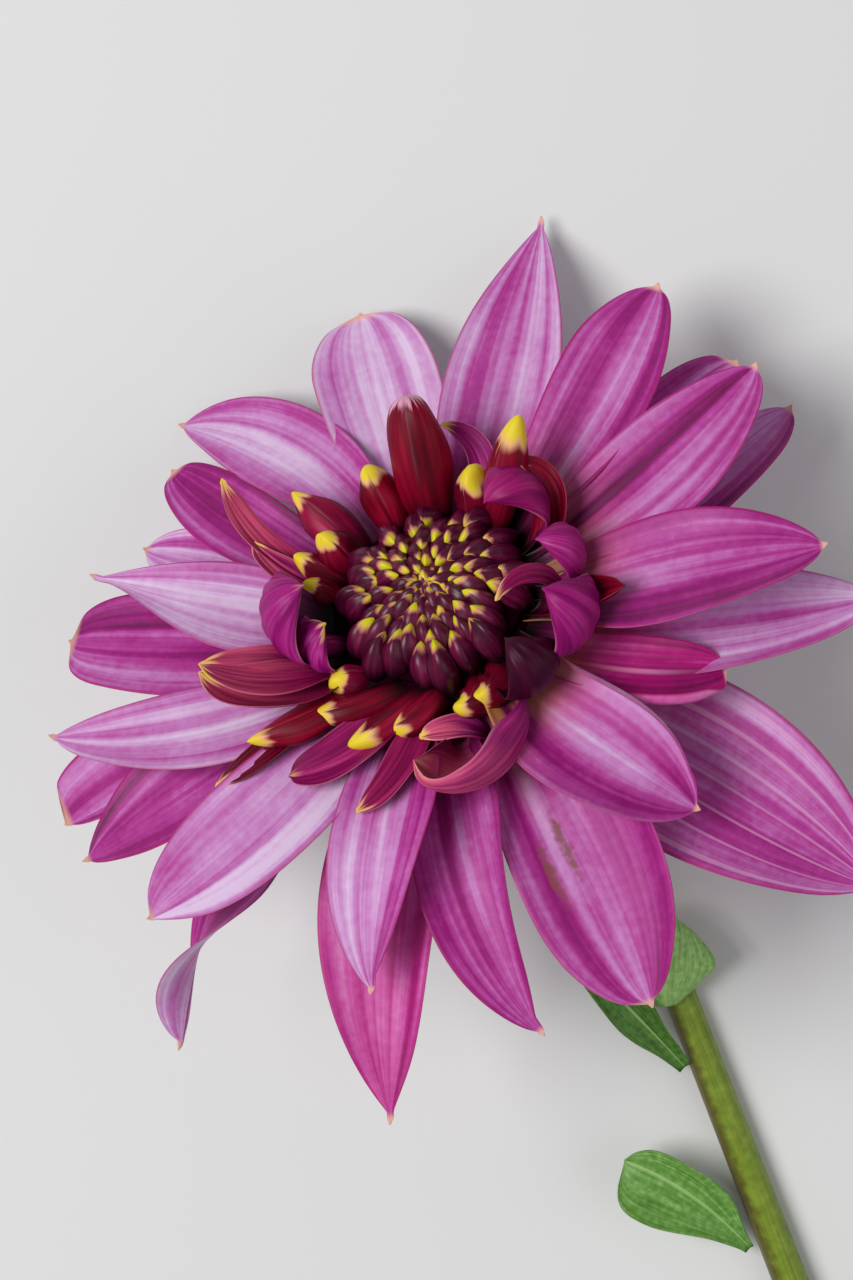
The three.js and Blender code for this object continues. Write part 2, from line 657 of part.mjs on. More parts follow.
// The three leaves on the stem, each from its own root beside or above the stem.
const LEAVES = {
  upper_leaf: {
    root: new THREE.Vector3(9.2, -21.5, 6.0), azimuth: 62, length: 13, width: 14.5,
    rise: 40, droop: -50, bend: 1, sway: -50,
    cup: -50, rootCup: -30, claw: 0.3, broad: 0.5, point: 0.5,
  },
  middle_leaf: {
    root: new THREE.Vector3(8.3, -31.5, 3.6), azimuth: 108, length: 26, width: 7,
    rise: 20, droop: 10, sway: 6, cup: 50, rootCup: 60, claw: 0.35,
  },
  lower_leaf: {
    root: new THREE.Vector3(7.6, -60.4, 3.6), azimuth: 108, length: 24, width: 12,
    rise: 20, droop: -8, sway: 35, cup: 40, rootCup: 60, claw: 0.15, broad: 0.65, point: 0.45,
  },
};

function leaf(name) {
  const shape = { ...LEAVES[name], thickness: LEAF_THICKNESS };
  return onTable(oneBody(toSolid(bladeGeometry(shape, BLADE_STEPS))));
}

// ---- Assembly ----

const COLOURS = {
  ray: '#b0489a',
  inner: '#8c1440',
  disc: '#4a1030',
  bract: '#7f9a45',
  stem: '#8ba53a',
  leaf: '#6f9447',
};

function part(name, solid, colour, roughness) {
  const material = new THREE.MeshStandardMaterial({ color: colour, roughness, metalness: 0 });
  const mesh = new THREE.Mesh(toGeometry(solid), material);
  mesh.name = name;
  return mesh;
}

// The bloom's frame: its z axis leans over the table, and LOWEST_AZIMUTH looks down at it.
const head = new THREE.Group();
const lean = radians(HEAD_LEAN);
const lowest = radians(LOWEST_AZIMUTH);
const axis = new THREE.Vector3(0, Math.cos(lean), Math.sin(lean));
const down = new THREE.Vector3(0, Math.sin(lean), -Math.cos(lean));
const across = new THREE.Vector3(1, 0, 0);
const zeroSide = across.clone().multiplyScalar(Math.sin(lowest));
zeroSide.addScaledVector(down, Math.cos(lowest));
const quarterSide = across.clone().multiplyScalar(-Math.cos(lowest));
quarterSide.addScaledVector(down, Math.sin(lowest));
head.quaternion.setFromRotationMatrix(new THREE.Matrix4().makeBasis(zeroSide, quarterSide, axis));
head.position.copy(HEAD_POSITION);

// The table seen from the bloom's frame, where the lowest petal tips are cut flat.
const tableUp = new THREE.Vector3(0, 0, 1).applyQuaternion(head.quaternion.clone().invert());
const restingPetals = rayPetals().trimByPlane(tableUp.toArray(), -HEAD_POSITION.z);

head.add(part('disc_florets', discFlorets(), COLOURS.disc, 0.45));
head.add(part('inner_florets', innerFlorets(), COLOURS.inner, 0.45));
head.add(part('ray_petals', restingPetals, COLOURS.ray, 0.5));
head.add(part('bract_cup', bractCup(), COLOURS.bract, 0.6));

const flower = new THREE.Group();
flower.add(head);
flower.add(part('stem', stem(), COLOURS.stem, 0.5));
for (const name of Object.keys(LEAVES)) {
  flower.add(part(name, leaf(name), COLOURS.leaf, 0.6));
}

export default flower;
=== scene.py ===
"""Looks of a dahlia flower as picked: fine petals, florets, buds, stem and leaves on the CAD frame.

Lengths are in millimetres and angles in degrees until a piece is made, which turns them to metres.
The bloom is drawn in its own frame, with its axis along z and azimuths counted round that axis.
"""

import math

import bpy
import numpy as np
from mathutils import Matrix, Vector


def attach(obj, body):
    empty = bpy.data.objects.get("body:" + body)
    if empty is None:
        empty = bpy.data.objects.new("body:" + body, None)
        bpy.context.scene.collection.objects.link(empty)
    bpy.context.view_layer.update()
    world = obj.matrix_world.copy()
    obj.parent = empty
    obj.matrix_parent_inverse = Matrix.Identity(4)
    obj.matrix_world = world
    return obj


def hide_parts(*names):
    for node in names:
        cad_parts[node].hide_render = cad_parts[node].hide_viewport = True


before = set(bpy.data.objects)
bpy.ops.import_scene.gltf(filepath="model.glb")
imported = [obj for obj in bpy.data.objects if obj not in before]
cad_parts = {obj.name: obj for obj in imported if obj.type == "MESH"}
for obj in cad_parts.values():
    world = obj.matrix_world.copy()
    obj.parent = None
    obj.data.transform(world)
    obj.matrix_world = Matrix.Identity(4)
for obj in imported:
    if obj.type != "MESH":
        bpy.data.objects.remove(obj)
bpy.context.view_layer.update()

MM = 0.001

# ---- Driving dimensions: the CAD's, with thinner blades and slightly smaller cores ----

HEAD_POSITION = np.array([2.0, 44.0, 29.0])
# The bloom's axis rises this far above the table, and this azimuth round it points down.
HEAD_LEAN = 52
LOWEST_AZIMUTH = 76.5

PETAL_THICKNESS = 0.42
LEAF_THICKNESS = 0.5
BRACT_THICKNESS = 0.6
NIB_WIDTH = 1.0
NIB_START = 0.965

RAY_CORE = dict(radius=10.6, bottom=-4.4, top=3.0)
FLORET_CORE = dict(radius=14.2, neck=11.0, bottom=3.2, side=4.9, top=6.2)
FLORET_ROOT_RADIUS = 13.4
FLORET_ROOT_HEIGHT = 5.2

DISC_RADIUS = 13.6
DISC_SHIFT = np.array([0.9, -0.5, 0])
DISC_BOTTOM = 6.7
DISC_TOP = 10.4
DISC_DROP = 2.7
DISC_BUDS = 84
DISC_SPREAD = 0.64
GOLDEN_ANGLE = 137.508

CUP_TOP = -4.7
CUP_BOTTOM = -9.0
CUP_RADIUS = 10.6

STEM_NECK_RADIUS = 2.1
STEM_END_RADIUS = 2.65
STEM_ARC_RADIUS = 49
STEM_SIDE_SHIFT = 9.3
STEM_LENGTH_ON_TABLE = 90
STEM_SHIFT_START = 3
STEM_SHIFT_LENGTH = 54
STEM_SINK = 0.1
STEM_ARC_STEPS = 28
STEM_FLAT_STEPS = 40
STEM_SIDES = 32
STEM_GROOVES = 8
STEM_GROOVE_DEPTH = 0.018

# ---- The picture ----

PICTURE_LONG_SIDE = 1280
PICTURE_MIDDLE = (426.5, 640)
BLOOM_SEEN_AT = (444, 625)
CAMERA_DISTANCE = 414
CAMERA_OFF_AXIS = 34
CAMERA_ROLL = 32
LENS = 85
SENSOR = 36


# ---- Small helpers ----


def smooth(low, high, x):
    """Goes smoothly from 0 at low to 1 at high."""
    t = np.clip((x - low) / (high - low), 0, 1)
    return t * t * (3 - 2 * t)


def polar(azimuth, radius, height):
    turn = math.radians(azimuth)
    return np.array([radius * math.cos(turn), radius * math.sin(turn), height])


def unit(vectors):
    return vectors / np.linalg.norm(vectors, axis=-1, keepdims=True)


def head_frame():
    """Columns are the bloom's x, y and z axes in the part's frame."""
    lean, lowest = math.radians(HEAD_LEAN), math.radians(LOWEST_AZIMUTH)
    axis = np.array([0, math.cos(lean), math.sin(lean)])
    down = np.array([0, math.sin(lean), -math.cos(lean)])
    across = np.array([1.0, 0, 0])
    zero_side = across * math.sin(lowest) + down * math.cos(lowest)
    quarter_side = -across * math.cos(lowest) + down * math.sin(lowest)
    return np.stack([zero_side, quarter_side, axis], axis=1)


HEAD_FRAME = head_frame()


def from_head(points):
    return points @ HEAD_FRAME.T + HEAD_POSITION


# ---- Meshes ----

# What the materials read at each point: its share along and across the blade, the blade's seed,
# how pale, warm and vivid it is, whether the point is underneath, and how strongly the blade
# shows a pale crease, veins and brown blemishes.
LOOKS = ("along", "across", "seed", "tone", "warmth", "under", "vivid", "crease", "veins", "blemish")


class Pile:
    """Collects closed shells, with the values their material reads, into one mesh."""

    def __init__(self, place=lambda points: points):
        self.place = place
        self.points, self.faces, self.looks, self.count = [], [], [], 0

    def add(self, points, faces, **looks):
        points = np.asarray(points, float)
        self.points.append(self.place(points))
        self.faces.append(np.asarray(faces) + self.count)
        columns = [np.broadcast_to(looks.get(look, 0.0), len(points)) for look in LOOKS]
        self.looks.append(np.stack(columns, axis=1))
        self.count += len(points)

    def make(self, name, material, node):
        points = np.concatenate(self.points)
        # Nothing reaches below the table: what would is pressed flat on it.
        points[:, 2] = np.maximum(points[:, 2], 0)
        faces = [face[face >= 0].tolist() for group in self.faces for face in group]
        mesh = bpy.data.meshes.new(name)
        mesh.from_pydata((points * MM).tolist(), [], faces)
        looks = np.concatenate(self.looks)
        for column, look in enumerate(LOOKS):
            layer = mesh.attributes.new(look, "FLOAT", "POINT")
            layer.data.foreach_set("value", looks[:, column].astype(np.float32))
        mesh.shade_smooth()
        mesh.materials.append(material)
        piece = bpy.data.objects.new(name, mesh)
        bpy.context.scene.collection.objects.link(piece)
        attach(piece, "root")
        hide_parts(node)


def sheet_faces(rows, columns):
    """Quads of a thin closed sheet: an upper grid, a lower grid after it, and the rim between."""
    index = np.arange(rows * columns).reshape(rows, columns)
    under = index + rows * columns
    upper = [index[:-1, :-1], index[1:, :-1], index[1:, 1:], index[:-1, 1:]]
    lower = [under[:-1, :-1], under[:-1, 1:], under[1:, 1:], under[1:, :-1]]
    quads = [np.stack(corners, -1).reshape(-1, 4) for corners in (upper, lower)]
    rim = np.concatenate([index[0, :], index[1:, -1], index[-1, -2::-1], index[-2:0:-1, 0]])
    after = np.roll(rim, -1)
    shift = rows * columns
    quads.append(np.stack([rim, after, after + shift, rim + shift], -1))
    return np.concatenate(quads)


def tube_faces(rings, sides):
    """Quads of a tube of rings, with a middle point added at each end to close it."""
    index = np.arange(rings * sides).reshape(rings, sides)
    after = np.roll(index, -1, axis=1)
    body = np.stack([index[:-1], after[:-1], after[1:], index[1:]], -1).reshape(-1, 4)
    first, last = rings * sides, rings * sides + 1
    ends = [[b, a, first, first] for a, b in zip(index[0], after[0])]
    ends += [[a, b, last, last] for a, b in zip(index[-1], after[-1])]
    return body, ends


# ---- Blades: petals, open and rolled florets, bracts and leaves ----

BLADE = dict(
    azimuth=0, length=48, width=16, rise=0, droop=0, bend=1.4, aim=0, sway=0, roll=0,
    twist=0, twist_from=0.4, twist_to=0.9, hook=45,
    cup=30, root_cup=75, tip_cup=None, fold_left=0, fold_right=0, curl_left=0, curl_right=0,
    claw=0.42, broad=0.56, point=0.75, thickness=PETAL_THICKNESS,
    left={}, right={}, ridges=4, ridge=0.05, wave=0.4, waves=1.6, seed=0,
    tone=0, warmth=0, vivid=0, crease=0, veins=0, blemish=0,
)

PATH_STEPS = 240


def half_width(blade, share, side):
    """Distance from the midrib to the margin; left and right may state their own outline."""
    halves = []
    for margin in ({**blade, **blade["right"]}, {**blade, **blade["left"]}):
        full, broad = margin["width"] / 2, margin["broad"]
        swell = np.sin(math.pi / 2 * np.clip(share / broad, 0, 1)) ** 1.3
        near_root = full * (margin["claw"] + (1 - margin["claw"]) * swell)
        past = np.clip((share - broad) / (1 - broad), 0, 1)
        near_tip = full * (1 - np.clip(past / NIB_START, 0, 1) ** 2) ** margin["point"]
        nib = NIB_WIDTH / 2 * (1 - 0.75 * smooth(NIB_START, 1, past))
        halves.append(np.where(share < broad, near_root, np.maximum(near_tip, nib)))
    return np.where(side < 0, *halves)


def cup_angle(blade, share, side):
    """Half angle of the arc that the blade makes across, on one side of the midrib."""
    cup, root_cup, tip_cup = blade["cup"], blade["root_cup"], blade["tip_cup"]
    if tip_cup is None:
        tip_cup = cup * 0.8
    angle = cup + (root_cup - cup) * (1 - smooth(0, 0.45, share))
    angle = angle + (tip_cup - cup) * smooth(0.6, 1, share)
    unfolding = smooth(0.1, 0.5, share) * (1 - 0.6 * smooth(0.85, 1, share))
    fold = np.where(side > 0, blade["fold_left"], blade["fold_right"])
    return np.radians(angle + fold * abs(side) * unfolding)


def cross_section(blade, share, side):
    """How far each point lies beside and above the midrib, and how far it is turned up."""
    curl = np.where(side > 0, blade["curl_left"], blade["curl_right"])
    curl = np.radians(curl) * smooth(0.6, 1, abs(side))
    curl = curl * smooth(0.15, 0.4, share) * (1 - smooth(0.88, 1, share))
    turned = cup_angle(blade, share, side) * abs(side) + curl
    half = half_width(blade, share, side)
    sideways, raised = np.zeros_like(turned), np.zeros_like(turned)
    middle = side.shape[1] // 2
    for sign in (1, -1):
        outwards = slice(middle, None, sign)
        bend = turned[:, outwards]
        between = (bend[:, 1:] + bend[:, :-1]) / 2
        step = half[:, outwards][:, 1:] / middle
        sideways[:, outwards][:, 1:] = sign * np.cumsum(step * np.cos(between), axis=1)
        raised[:, outwards][:, 1:] = np.cumsum(step * np.sin(between), axis=1)
    return sideways, raised, turned


def surface_detail(blade, share, side):
    """Height of the channels and the wavy margin over the smooth surface."""
    random = np.random.default_rng(int(blade["seed"] * 1000) + 7)
    phase, second = random.uniform(0, 2 * math.pi, 2)
    body = smooth(0.05, 0.3, share) * (1 - smooth(0.82, 0.97, share))
    channels = np.cos(2 * math.pi * blade["ridges"] * side) * (1 - side**4)
    height = blade["ridge"] * body * channels
    swing = np.sin(2 * math.pi * blade["waves"] * share + phase * np.sign(side) + second)
    return height + blade["wave"] * abs(side) ** 3 * body * swing


def midrib(blade, root):
    """Fine path of the midrib: shares, points and directions, with the blade's left and up."""
    share = np.linspace(0, 1, PATH_STEPS + 1)
    elevation = blade["rise"] + (blade["droop"] - blade["rise"]) * share ** blade["bend"]
    elevation = np.radians(elevation + blade["hook"] * smooth(0.96, 1, share))
    heading = np.radians(blade["azimuth"] + blade["aim"] + blade["sway"] * share**1.5)
    flat = np.cos(elevation)
    along = np.stack([flat * np.cos(heading), flat * np.sin(heading), np.sin(elevation)], -1)
    steps = (along[1:] + along[:-1]) / 2 * blade["length"] / PATH_STEPS
    points = root + np.concatenate([np.zeros((1, 3)), np.cumsum(steps, axis=0)])
    left = np.stack([-np.sin(heading), np.cos(heading), 0 * heading], -1)
    up = np.cross(along, left)
    turn = blade["twist"] * smooth(blade["twist_from"], blade["twist_to"], share)
    turn = np.radians(blade["roll"] + turn)[:, None]
    left, up = left * np.cos(turn) + up * np.sin(turn), up * np.cos(turn) - left * np.sin(turn)
    return share, points, left, up


def add_blade(pile, row, root, rows, columns):
    """Adds one thin closed blade that starts at root."""
    blade = {**BLADE, **row}
    fine, path, left, up = midrib(blade, root)
    share = 1 - (1 - np.linspace(0, 1, rows)) ** 1.35
    at = np.rint(share * PATH_STEPS).astype(int)
    share = fine[at]
    side = np.linspace(-1, 1, columns)
    s, v = np.meshgrid(share, side, indexing="ij")
    sideways, raised, turned = cross_section(blade, s, v)
    left, up, centre = left[at][:, None, :], up[at][:, None, :], path[at][:, None, :]
    middle = centre + left * sideways[..., None] + up * raised[..., None]
    normal = up * np.cos(turned)[..., None] - left * (np.sin(turned) * np.sign(v))[..., None]
    detail = surface_detail(blade, s, v)
    thin = blade["thickness"] / 2 * (1 - 0.7 * abs(v) ** 3) * (1 - 0.5 * smooth(0.9, 1, s))
    upper = middle + normal * (detail + thin)[..., None]
    lower = middle + normal * (detail - thin)[..., None]
    points = np.concatenate([upper.reshape(-1, 3), lower.reshape(-1, 3)])
    pile.add(
        points, sheet_faces(rows, columns),
        along=np.tile(s.ravel(), 2), across=np.tile(v.ravel(), 2),
        under=np.repeat([0.0, 1.0], s.size), seed=blade["seed"],
        **{look: blade[look] for look in ("tone", "warmth", "vivid", "crease", "veins", "blemish")},
    )


SPINDLE = dict(
    azimuth=0, length=10, width=4, rise=0, droop=0, bend=1.2, aim=0, sway=0, roll=0, hook=0,
    twist=0, twist_from=0, twist_to=1, depth=0.85, neck=0.55, broad=0.6, blunt=0.6,
    keel=0.2, pinch=0.3, seam=0.1, lumps=0.05, seed=0, tone=0, warmth=0,
)


def add_spindle(pile, row, root, rings=20, sides=20):
    """Adds a closed teardrop along a midrib, with a keel on its outer side and a seam down it."""
    spindle = {**SPINDLE, **row}
    random = np.random.default_rng(int(spindle["seed"] * 1000) + 3)
    fine, path, left, up = midrib(spindle, root)
    share = 1 - (1 - np.linspace(0, 1, rings)) ** 1.5
    at = np.rint(share * PATH_STEPS).astype(int)
    share = fine[at]
    broad = spindle["broad"]
    swell = spindle["neck"] + (1 - spindle["neck"]) * np.sin(math.pi / 2 * np.clip(share / broad, 0, 1))
    past = np.clip((share - broad) / (1 - broad), 0, 1)
    half = spindle["width"] / 2 * np.where(share < broad, swell, (1 - past**2.2) ** spindle["blunt"])
    half = np.maximum(half, 0.1)[:, None]
    turn = np.linspace(-math.pi, math.pi, sides, endpoint=False)
    phase = random.uniform(0, 2 * math.pi, 2)
    seam_at = random.uniform(0.6, 1.4) * random.choice([-1, 1]) + 0.8 * (share[:, None] - 0.5)
    keel = 1 + spindle["keel"] * np.exp(-((turn / 0.45) ** 2))
    shape = 1 - spindle["seam"] * np.exp(-(((turn - seam_at) / 0.22) ** 2))
    shape = shape + spindle["lumps"] * np.sin(2 * turn + phase[0] + 5 * share[:, None])
    shape = shape + spindle["lumps"] * np.sin(3 * turn + phase[1] + 9 * share[:, None])
    narrow = 1 - spindle["pinch"] * smooth(0.6, 0.95, share)[:, None]
    out = half * spindle["depth"] * np.cos(turn) * keel * shape
    sideways = half * narrow * np.sin(turn) * shape
    middle = path[at][:, None, :]
    skin = middle - up[at][:, None, :] * out[..., None] + left[at][:, None, :] * sideways[..., None]
    points = np.concatenate([skin.reshape(-1, 3), [path[at[0]], path[at[-1]]]])
    body, caps = tube_faces(len(share), sides)
    close_tube(
        pile, points, body, caps,
        along=np.concatenate([np.repeat(share, sides), [0, 1]]),
        across=np.concatenate([np.tile(turn / math.pi, len(share)), [0, 0]]),
        seed=spindle["seed"], tone=spindle["tone"], warmth=spindle["warmth"],
    )


def add_lathe(pile, profile, sides=64):
    """Adds a body turned about the bloom's axis from (radius, height) pairs, low to high."""
    turn = np.linspace(0, 2 * math.pi, sides, endpoint=False)
    rings = [
        np.stack([radius * np.cos(turn), radius * np.sin(turn), 0 * turn + height], -1)
        for radius, height in profile
    ]
    ends = np.array([[0, 0, profile[0][1]], [0, 0, profile[-1][1]]])
    body, caps = tube_faces(len(profile), sides)
    close_tube(pile, np.concatenate([*rings, ends]), body, caps)


def close_tube(pile, points, body, caps, **looks):
    """Adds a tube. Its ends are triangles: their fourth corner comes out as -1, which make drops."""
    triangles = np.array([[a, b, c, -1 - pile.count] for a, b, c, _ in caps])
    pile.add(points, np.concatenate([body, triangles]), **looks)


# ---- Ray petals ----

WHORLS = {
    "back": dict(root_radius=8.5, root_height=-2.6),
    "middle": dict(root_radius=9.2, root_height=-0.4),
    "front": dict(root_radius=10.0, root_height=1.6),
}

RAY_PETALS = {
    "back": [
        dict(azimuth=75, length=43.5, width=18.5, rise=14, droop=10, sway=-2, cup=20, broad=0.7, point=0.42,
             left=dict(broad=0.78, claw=0.3), tone=0.9),
        dict(azimuth=10, length=47.5, width=14, rise=6, droop=-5, sway=8, broad=0.66, point=0.36,
             tone=0.45),
        dict(azimuth=355, length=49, width=13, lift=-1, rise=3, droop=-3, sway=21, cup=25, point=0.55,
             right=dict(width=14.5), tone=0.2),
        dict(azimuth=320, length=52, width=15, lift=0.6, rise=1, droop=-4, sway=25, left=dict(width=18),
             tone=0.6, warmth=0.7),
        dict(azimuth=299, length=60, width=25, lift=-1.2, rise=-11, droop=-24, sway=-5, broad=0.52,
             right=dict(width=27), tone=0.35, warmth=0.3, veins=1),
        dict(azimuth=226, length=60, width=16.5, rise=-5, droop=-36, sway=13, cup=35, broad=0.5, point=1,
             right=dict(width=19.5), tone=0.3, vivid=0.8),
        dict(azimuth=192, length=62.5, width=18, rise=0, droop=-48, sway=28, bend=2, cup=40, twist=120,
             twist_from=0.54, twist_to=1, right=dict(width=7), tone=-0.1),
        dict(azimuth=178, length=52, width=16, lift=0.6, rise=5, droop=-18, tone=-0.1),
        dict(azimuth=167, length=53, width=12, lift=-1, rise=2, droop=-14, sway=10,
             right=dict(width=17, broad=0.8, point=0.22), tone=0.2),
        dict(azimuth=150, length=47.5, width=17, lift=-0.3, rise=8, droop=1, sway=-10, cup=20, broad=0.65,
             point=0.3, tone=-0.1),
        dict(azimuth=125, length=42, width=12, lift=-1.2, rise=7, droop=-1, sway=9, cup=25, point=0.5,
             tone=0.85),
    ],
    "middle": [
        dict(azimuth=121, length=41, width=11.5, rise=10, droop=2, sway=-17, cup=25, broad=0.65, point=0.4,
             tone=0),
        dict(azimuth=45, length=54, width=17.5, rise=14, droop=2, sway=4, cup=25, broad=0.48, point=1.05,
             tone=0.5),
        dict(azimuth=272, length=52, width=22, rise=-6, droop=-38, sway=-17, fold_left=30,
             left=dict(width=23, broad=0.48, point=0.7),
             right=dict(width=21.5, point=0.5, broad=0.62, claw=0.3), tone=0.4, warmth=0.4,
             blemish=1),
        dict(azimuth=241, length=51, width=14, lift=-0.5, rise=-1, droop=-40, sway=34, cup=35, fold_left=45,
             left=dict(width=17.5, broad=0.38, point=1.3), tone=-0.2),
        dict(azimuth=178, length=49.5, width=12.5, rise=9, droop=2, sway=-42, cup=25,
             left=dict(width=14, broad=0.4, claw=0.6), tone=0.6),
    ],
    "front": [
        dict(azimuth=208, length=48, width=18, lift=0.2, rise=7, droop=-4, sway=-30, cup=22, root_cup=45,
             right=dict(width=19, broad=0.62, point=0.5), left=dict(width=16, point=0.9), tone=0.85),
        dict(azimuth=146, length=41, width=12, rise=20, droop=2, sway=-17, cup=40, broad=0.45, point=1.1,
             left=dict(width=19, broad=0.28, point=1.6), tone=0.8),
        dict(azimuth=93, length=47.5, width=14.5, rise=8, droop=-9, sway=46, cup=25, tone=0.6),
        dict(azimuth=17, length=46, width=16, lift=-0.4, rise=18, droop=6, sway=18, cup=25, point=0.6,
             left=dict(broad=0.7, claw=0.3), tone=0.1, warmth=0.4),
        dict(azimuth=353, length=46, width=15, lift=0.2, rise=17, droop=4, sway=26, cup=25, point=0.65,
             right=dict(width=20), tone=0, warmth=0.5),
        dict(azimuth=326, length=46.5, width=17, lift=0.6, rise=22, droop=-7, sway=10, point=0.7, tone=0.2,
             warmth=0.6),
        dict(azimuth=230, length=44.5, width=14.5, lift=0.6, rise=11, droop=-38,
             left=dict(width=14, broad=0.42, point=1.3), tone=0.3),
        dict(azimuth=303, length=32, width=14, rise=3, droop=-18, sway=40, cup=35, broad=0.62, point=0.4,
             left=dict(width=10, claw=0.3), right=dict(width=16, claw=0.3, broad=0.7), curl_right=110,
             tone=0, warmth=1, vivid=1, crease=1),
        dict(azimuth=282, length=38, width=18, lift=0.6, rise=10, droop=-39, sway=25, cup=35, curl_left=100,
             left=dict(width=21), tone=0.15, warmth=1),
    ],
}


def make_ray_petals(material):
    seed = 0
    for whorl, place in WHORLS.items():
        pile = Pile(from_head)
        for row in RAY_PETALS[whorl]:
            seed += 1
            height = place["root_height"] + row.get("lift", 0)
            root = polar(row["azimuth"], place["root_radius"], height)
            add_blade(pile, {**row, "seed": seed / 10}, root, rows=72, columns=33)
        pile.make(f"ray_petals_{whorl}", material, "ray_petals")


def make_receptacle(material):
    """The fleshy ring that the ray petals grow from."""
    radius, bottom, top = RAY_CORE["radius"], RAY_CORE["bottom"], RAY_CORE["top"]
    profile = [(2, bottom), (radius - 2, bottom), (radius - 0.6, bottom + 0.6)]
    profile += [(radius, bottom + 2), (radius, top - 1), (radius - 1, top), (2, top)]
    pile = Pile(from_head)
    add_lathe(pile, profile)
    pile.make("petal_base", material, "ray_petals")


# ---- Inner florets ----

# Florets that have opened into small blades. Tone goes from dark purple at -1 over crimson at 0
# to magenta at 1. Warmth sets how far the yellow of the tip reaches, and below 0 it gives a pale
# pink nib instead. The one with a root of its own is the lip of the folded floret before it.
FLORET = dict(
    root_cup=80, claw=0.5, broad=0.5, point=0.6, bend=1, hook=0, ridges=3, ridge=0.06, wave=0.2,
)
OPEN_FLORETS = [
    dict(azimuth=132, length=24, width=4.5, rise=22, droop=61, sway=-60, cup=60, tone=0.4, warmth=0.4,
         vivid=0.8),
    dict(azimuth=138, length=15, width=5, rise=25, droop=40, sway=-45, cup=70, tone=0.6, warmth=0.4,
         vivid=0.8),
    dict(azimuth=184, length=22, width=9, rise=34, droop=32, sway=-50, cup=50, tone=0.4, warmth=0.3,
         vivid=0.5),
    dict(azimuth=190, length=23, width=9, rise=28, droop=24, sway=-75, cup=60, tone=0.35, warmth=0.3,
         vivid=0.5),
    dict(azimuth=194, length=25, width=5.5, rise=2, droop=-2, sway=-18, cup=60, tone=-0.4, warmth=0.3),
    dict(azimuth=230, length=20.5, width=8, lift=-0.2, rise=6, droop=4, aim=-25, sway=-50, cup=50,
         point=0.4, tone=0.5, warmth=0.1),
    dict(azimuth=240, length=20, width=6, lift=-0.2, rise=4, droop=-2, aim=-5, sway=-60, cup=60,
         tone=0.4, warmth=0.2),
    dict(azimuth=282, length=29, width=18, bend=1.3, rise=-30, droop=60, aim=-14, sway=-170, roll=35,
         root_cup=60, cup=50, fold_left=80, tip_cup=60, claw=0.25, broad=0.6, point=0.4,
         left=dict(width=24), tone=0.8, warmth=0.1, vivid=0.9),
    dict(root=(-3, -19.6, 0.5), azimuth=165, length=11, width=4.6, bend=1.2, rise=75, droop=-10, cup=60,
         tone=1, warmth=0.4, vivid=1),
    dict(azimuth=352, length=18.5, width=6, rise=18, droop=60, sway=175, cup=60, tone=0.1, warmth=0.3),
    dict(azimuth=320, length=18, width=7, rise=15, droop=40, cup=70, tone=-0.2),
    dict(azimuth=38, length=17, width=4.5, rise=22, droop=34, aim=-15, sway=130, cup=60, tone=0.8,
         warmth=0.4),
]

# Florets that curl back over the disc, so that their outer side shows.
HOOD = dict(
    bend=1.4, cup=60, root_cup=60, tip_cup=70, claw=0.6, broad=0.45, point=0.55, hook=0,
    ridges=3, ridge=0.12, wave=0.25,
)
HOODED_FLORETS = [
    dict(azimuth=163, length=24, width=17, rise=16, droop=200, tone=0.9, warmth=0.1),
    dict(azimuth=176, length=15, width=12, rise=15, droop=205, tone=0.9, warmth=0.3),
    dict(azimuth=10, length=23, width=15, rise=12, droop=230, bend=1.5, claw=0.8, tone=0.55),
    dict(azimuth=336, length=21, width=11, rise=4, droop=200, bend=1.7, claw=0.8, tone=0.75),
    dict(azimuth=310, length=26, width=15, rise=0, droop=195, bend=1.8, claw=0.8, tone=0.75),
    dict(azimuth=288, length=23, width=12, rise=-8, droop=205, bend=1.6, claw=0.8, tone=-1),
    dict(azimuth=320, length=24, width=4.4, rise=15, droop=205, bend=1.2, sway=70, tone=0.4, warmth=0.3),
]

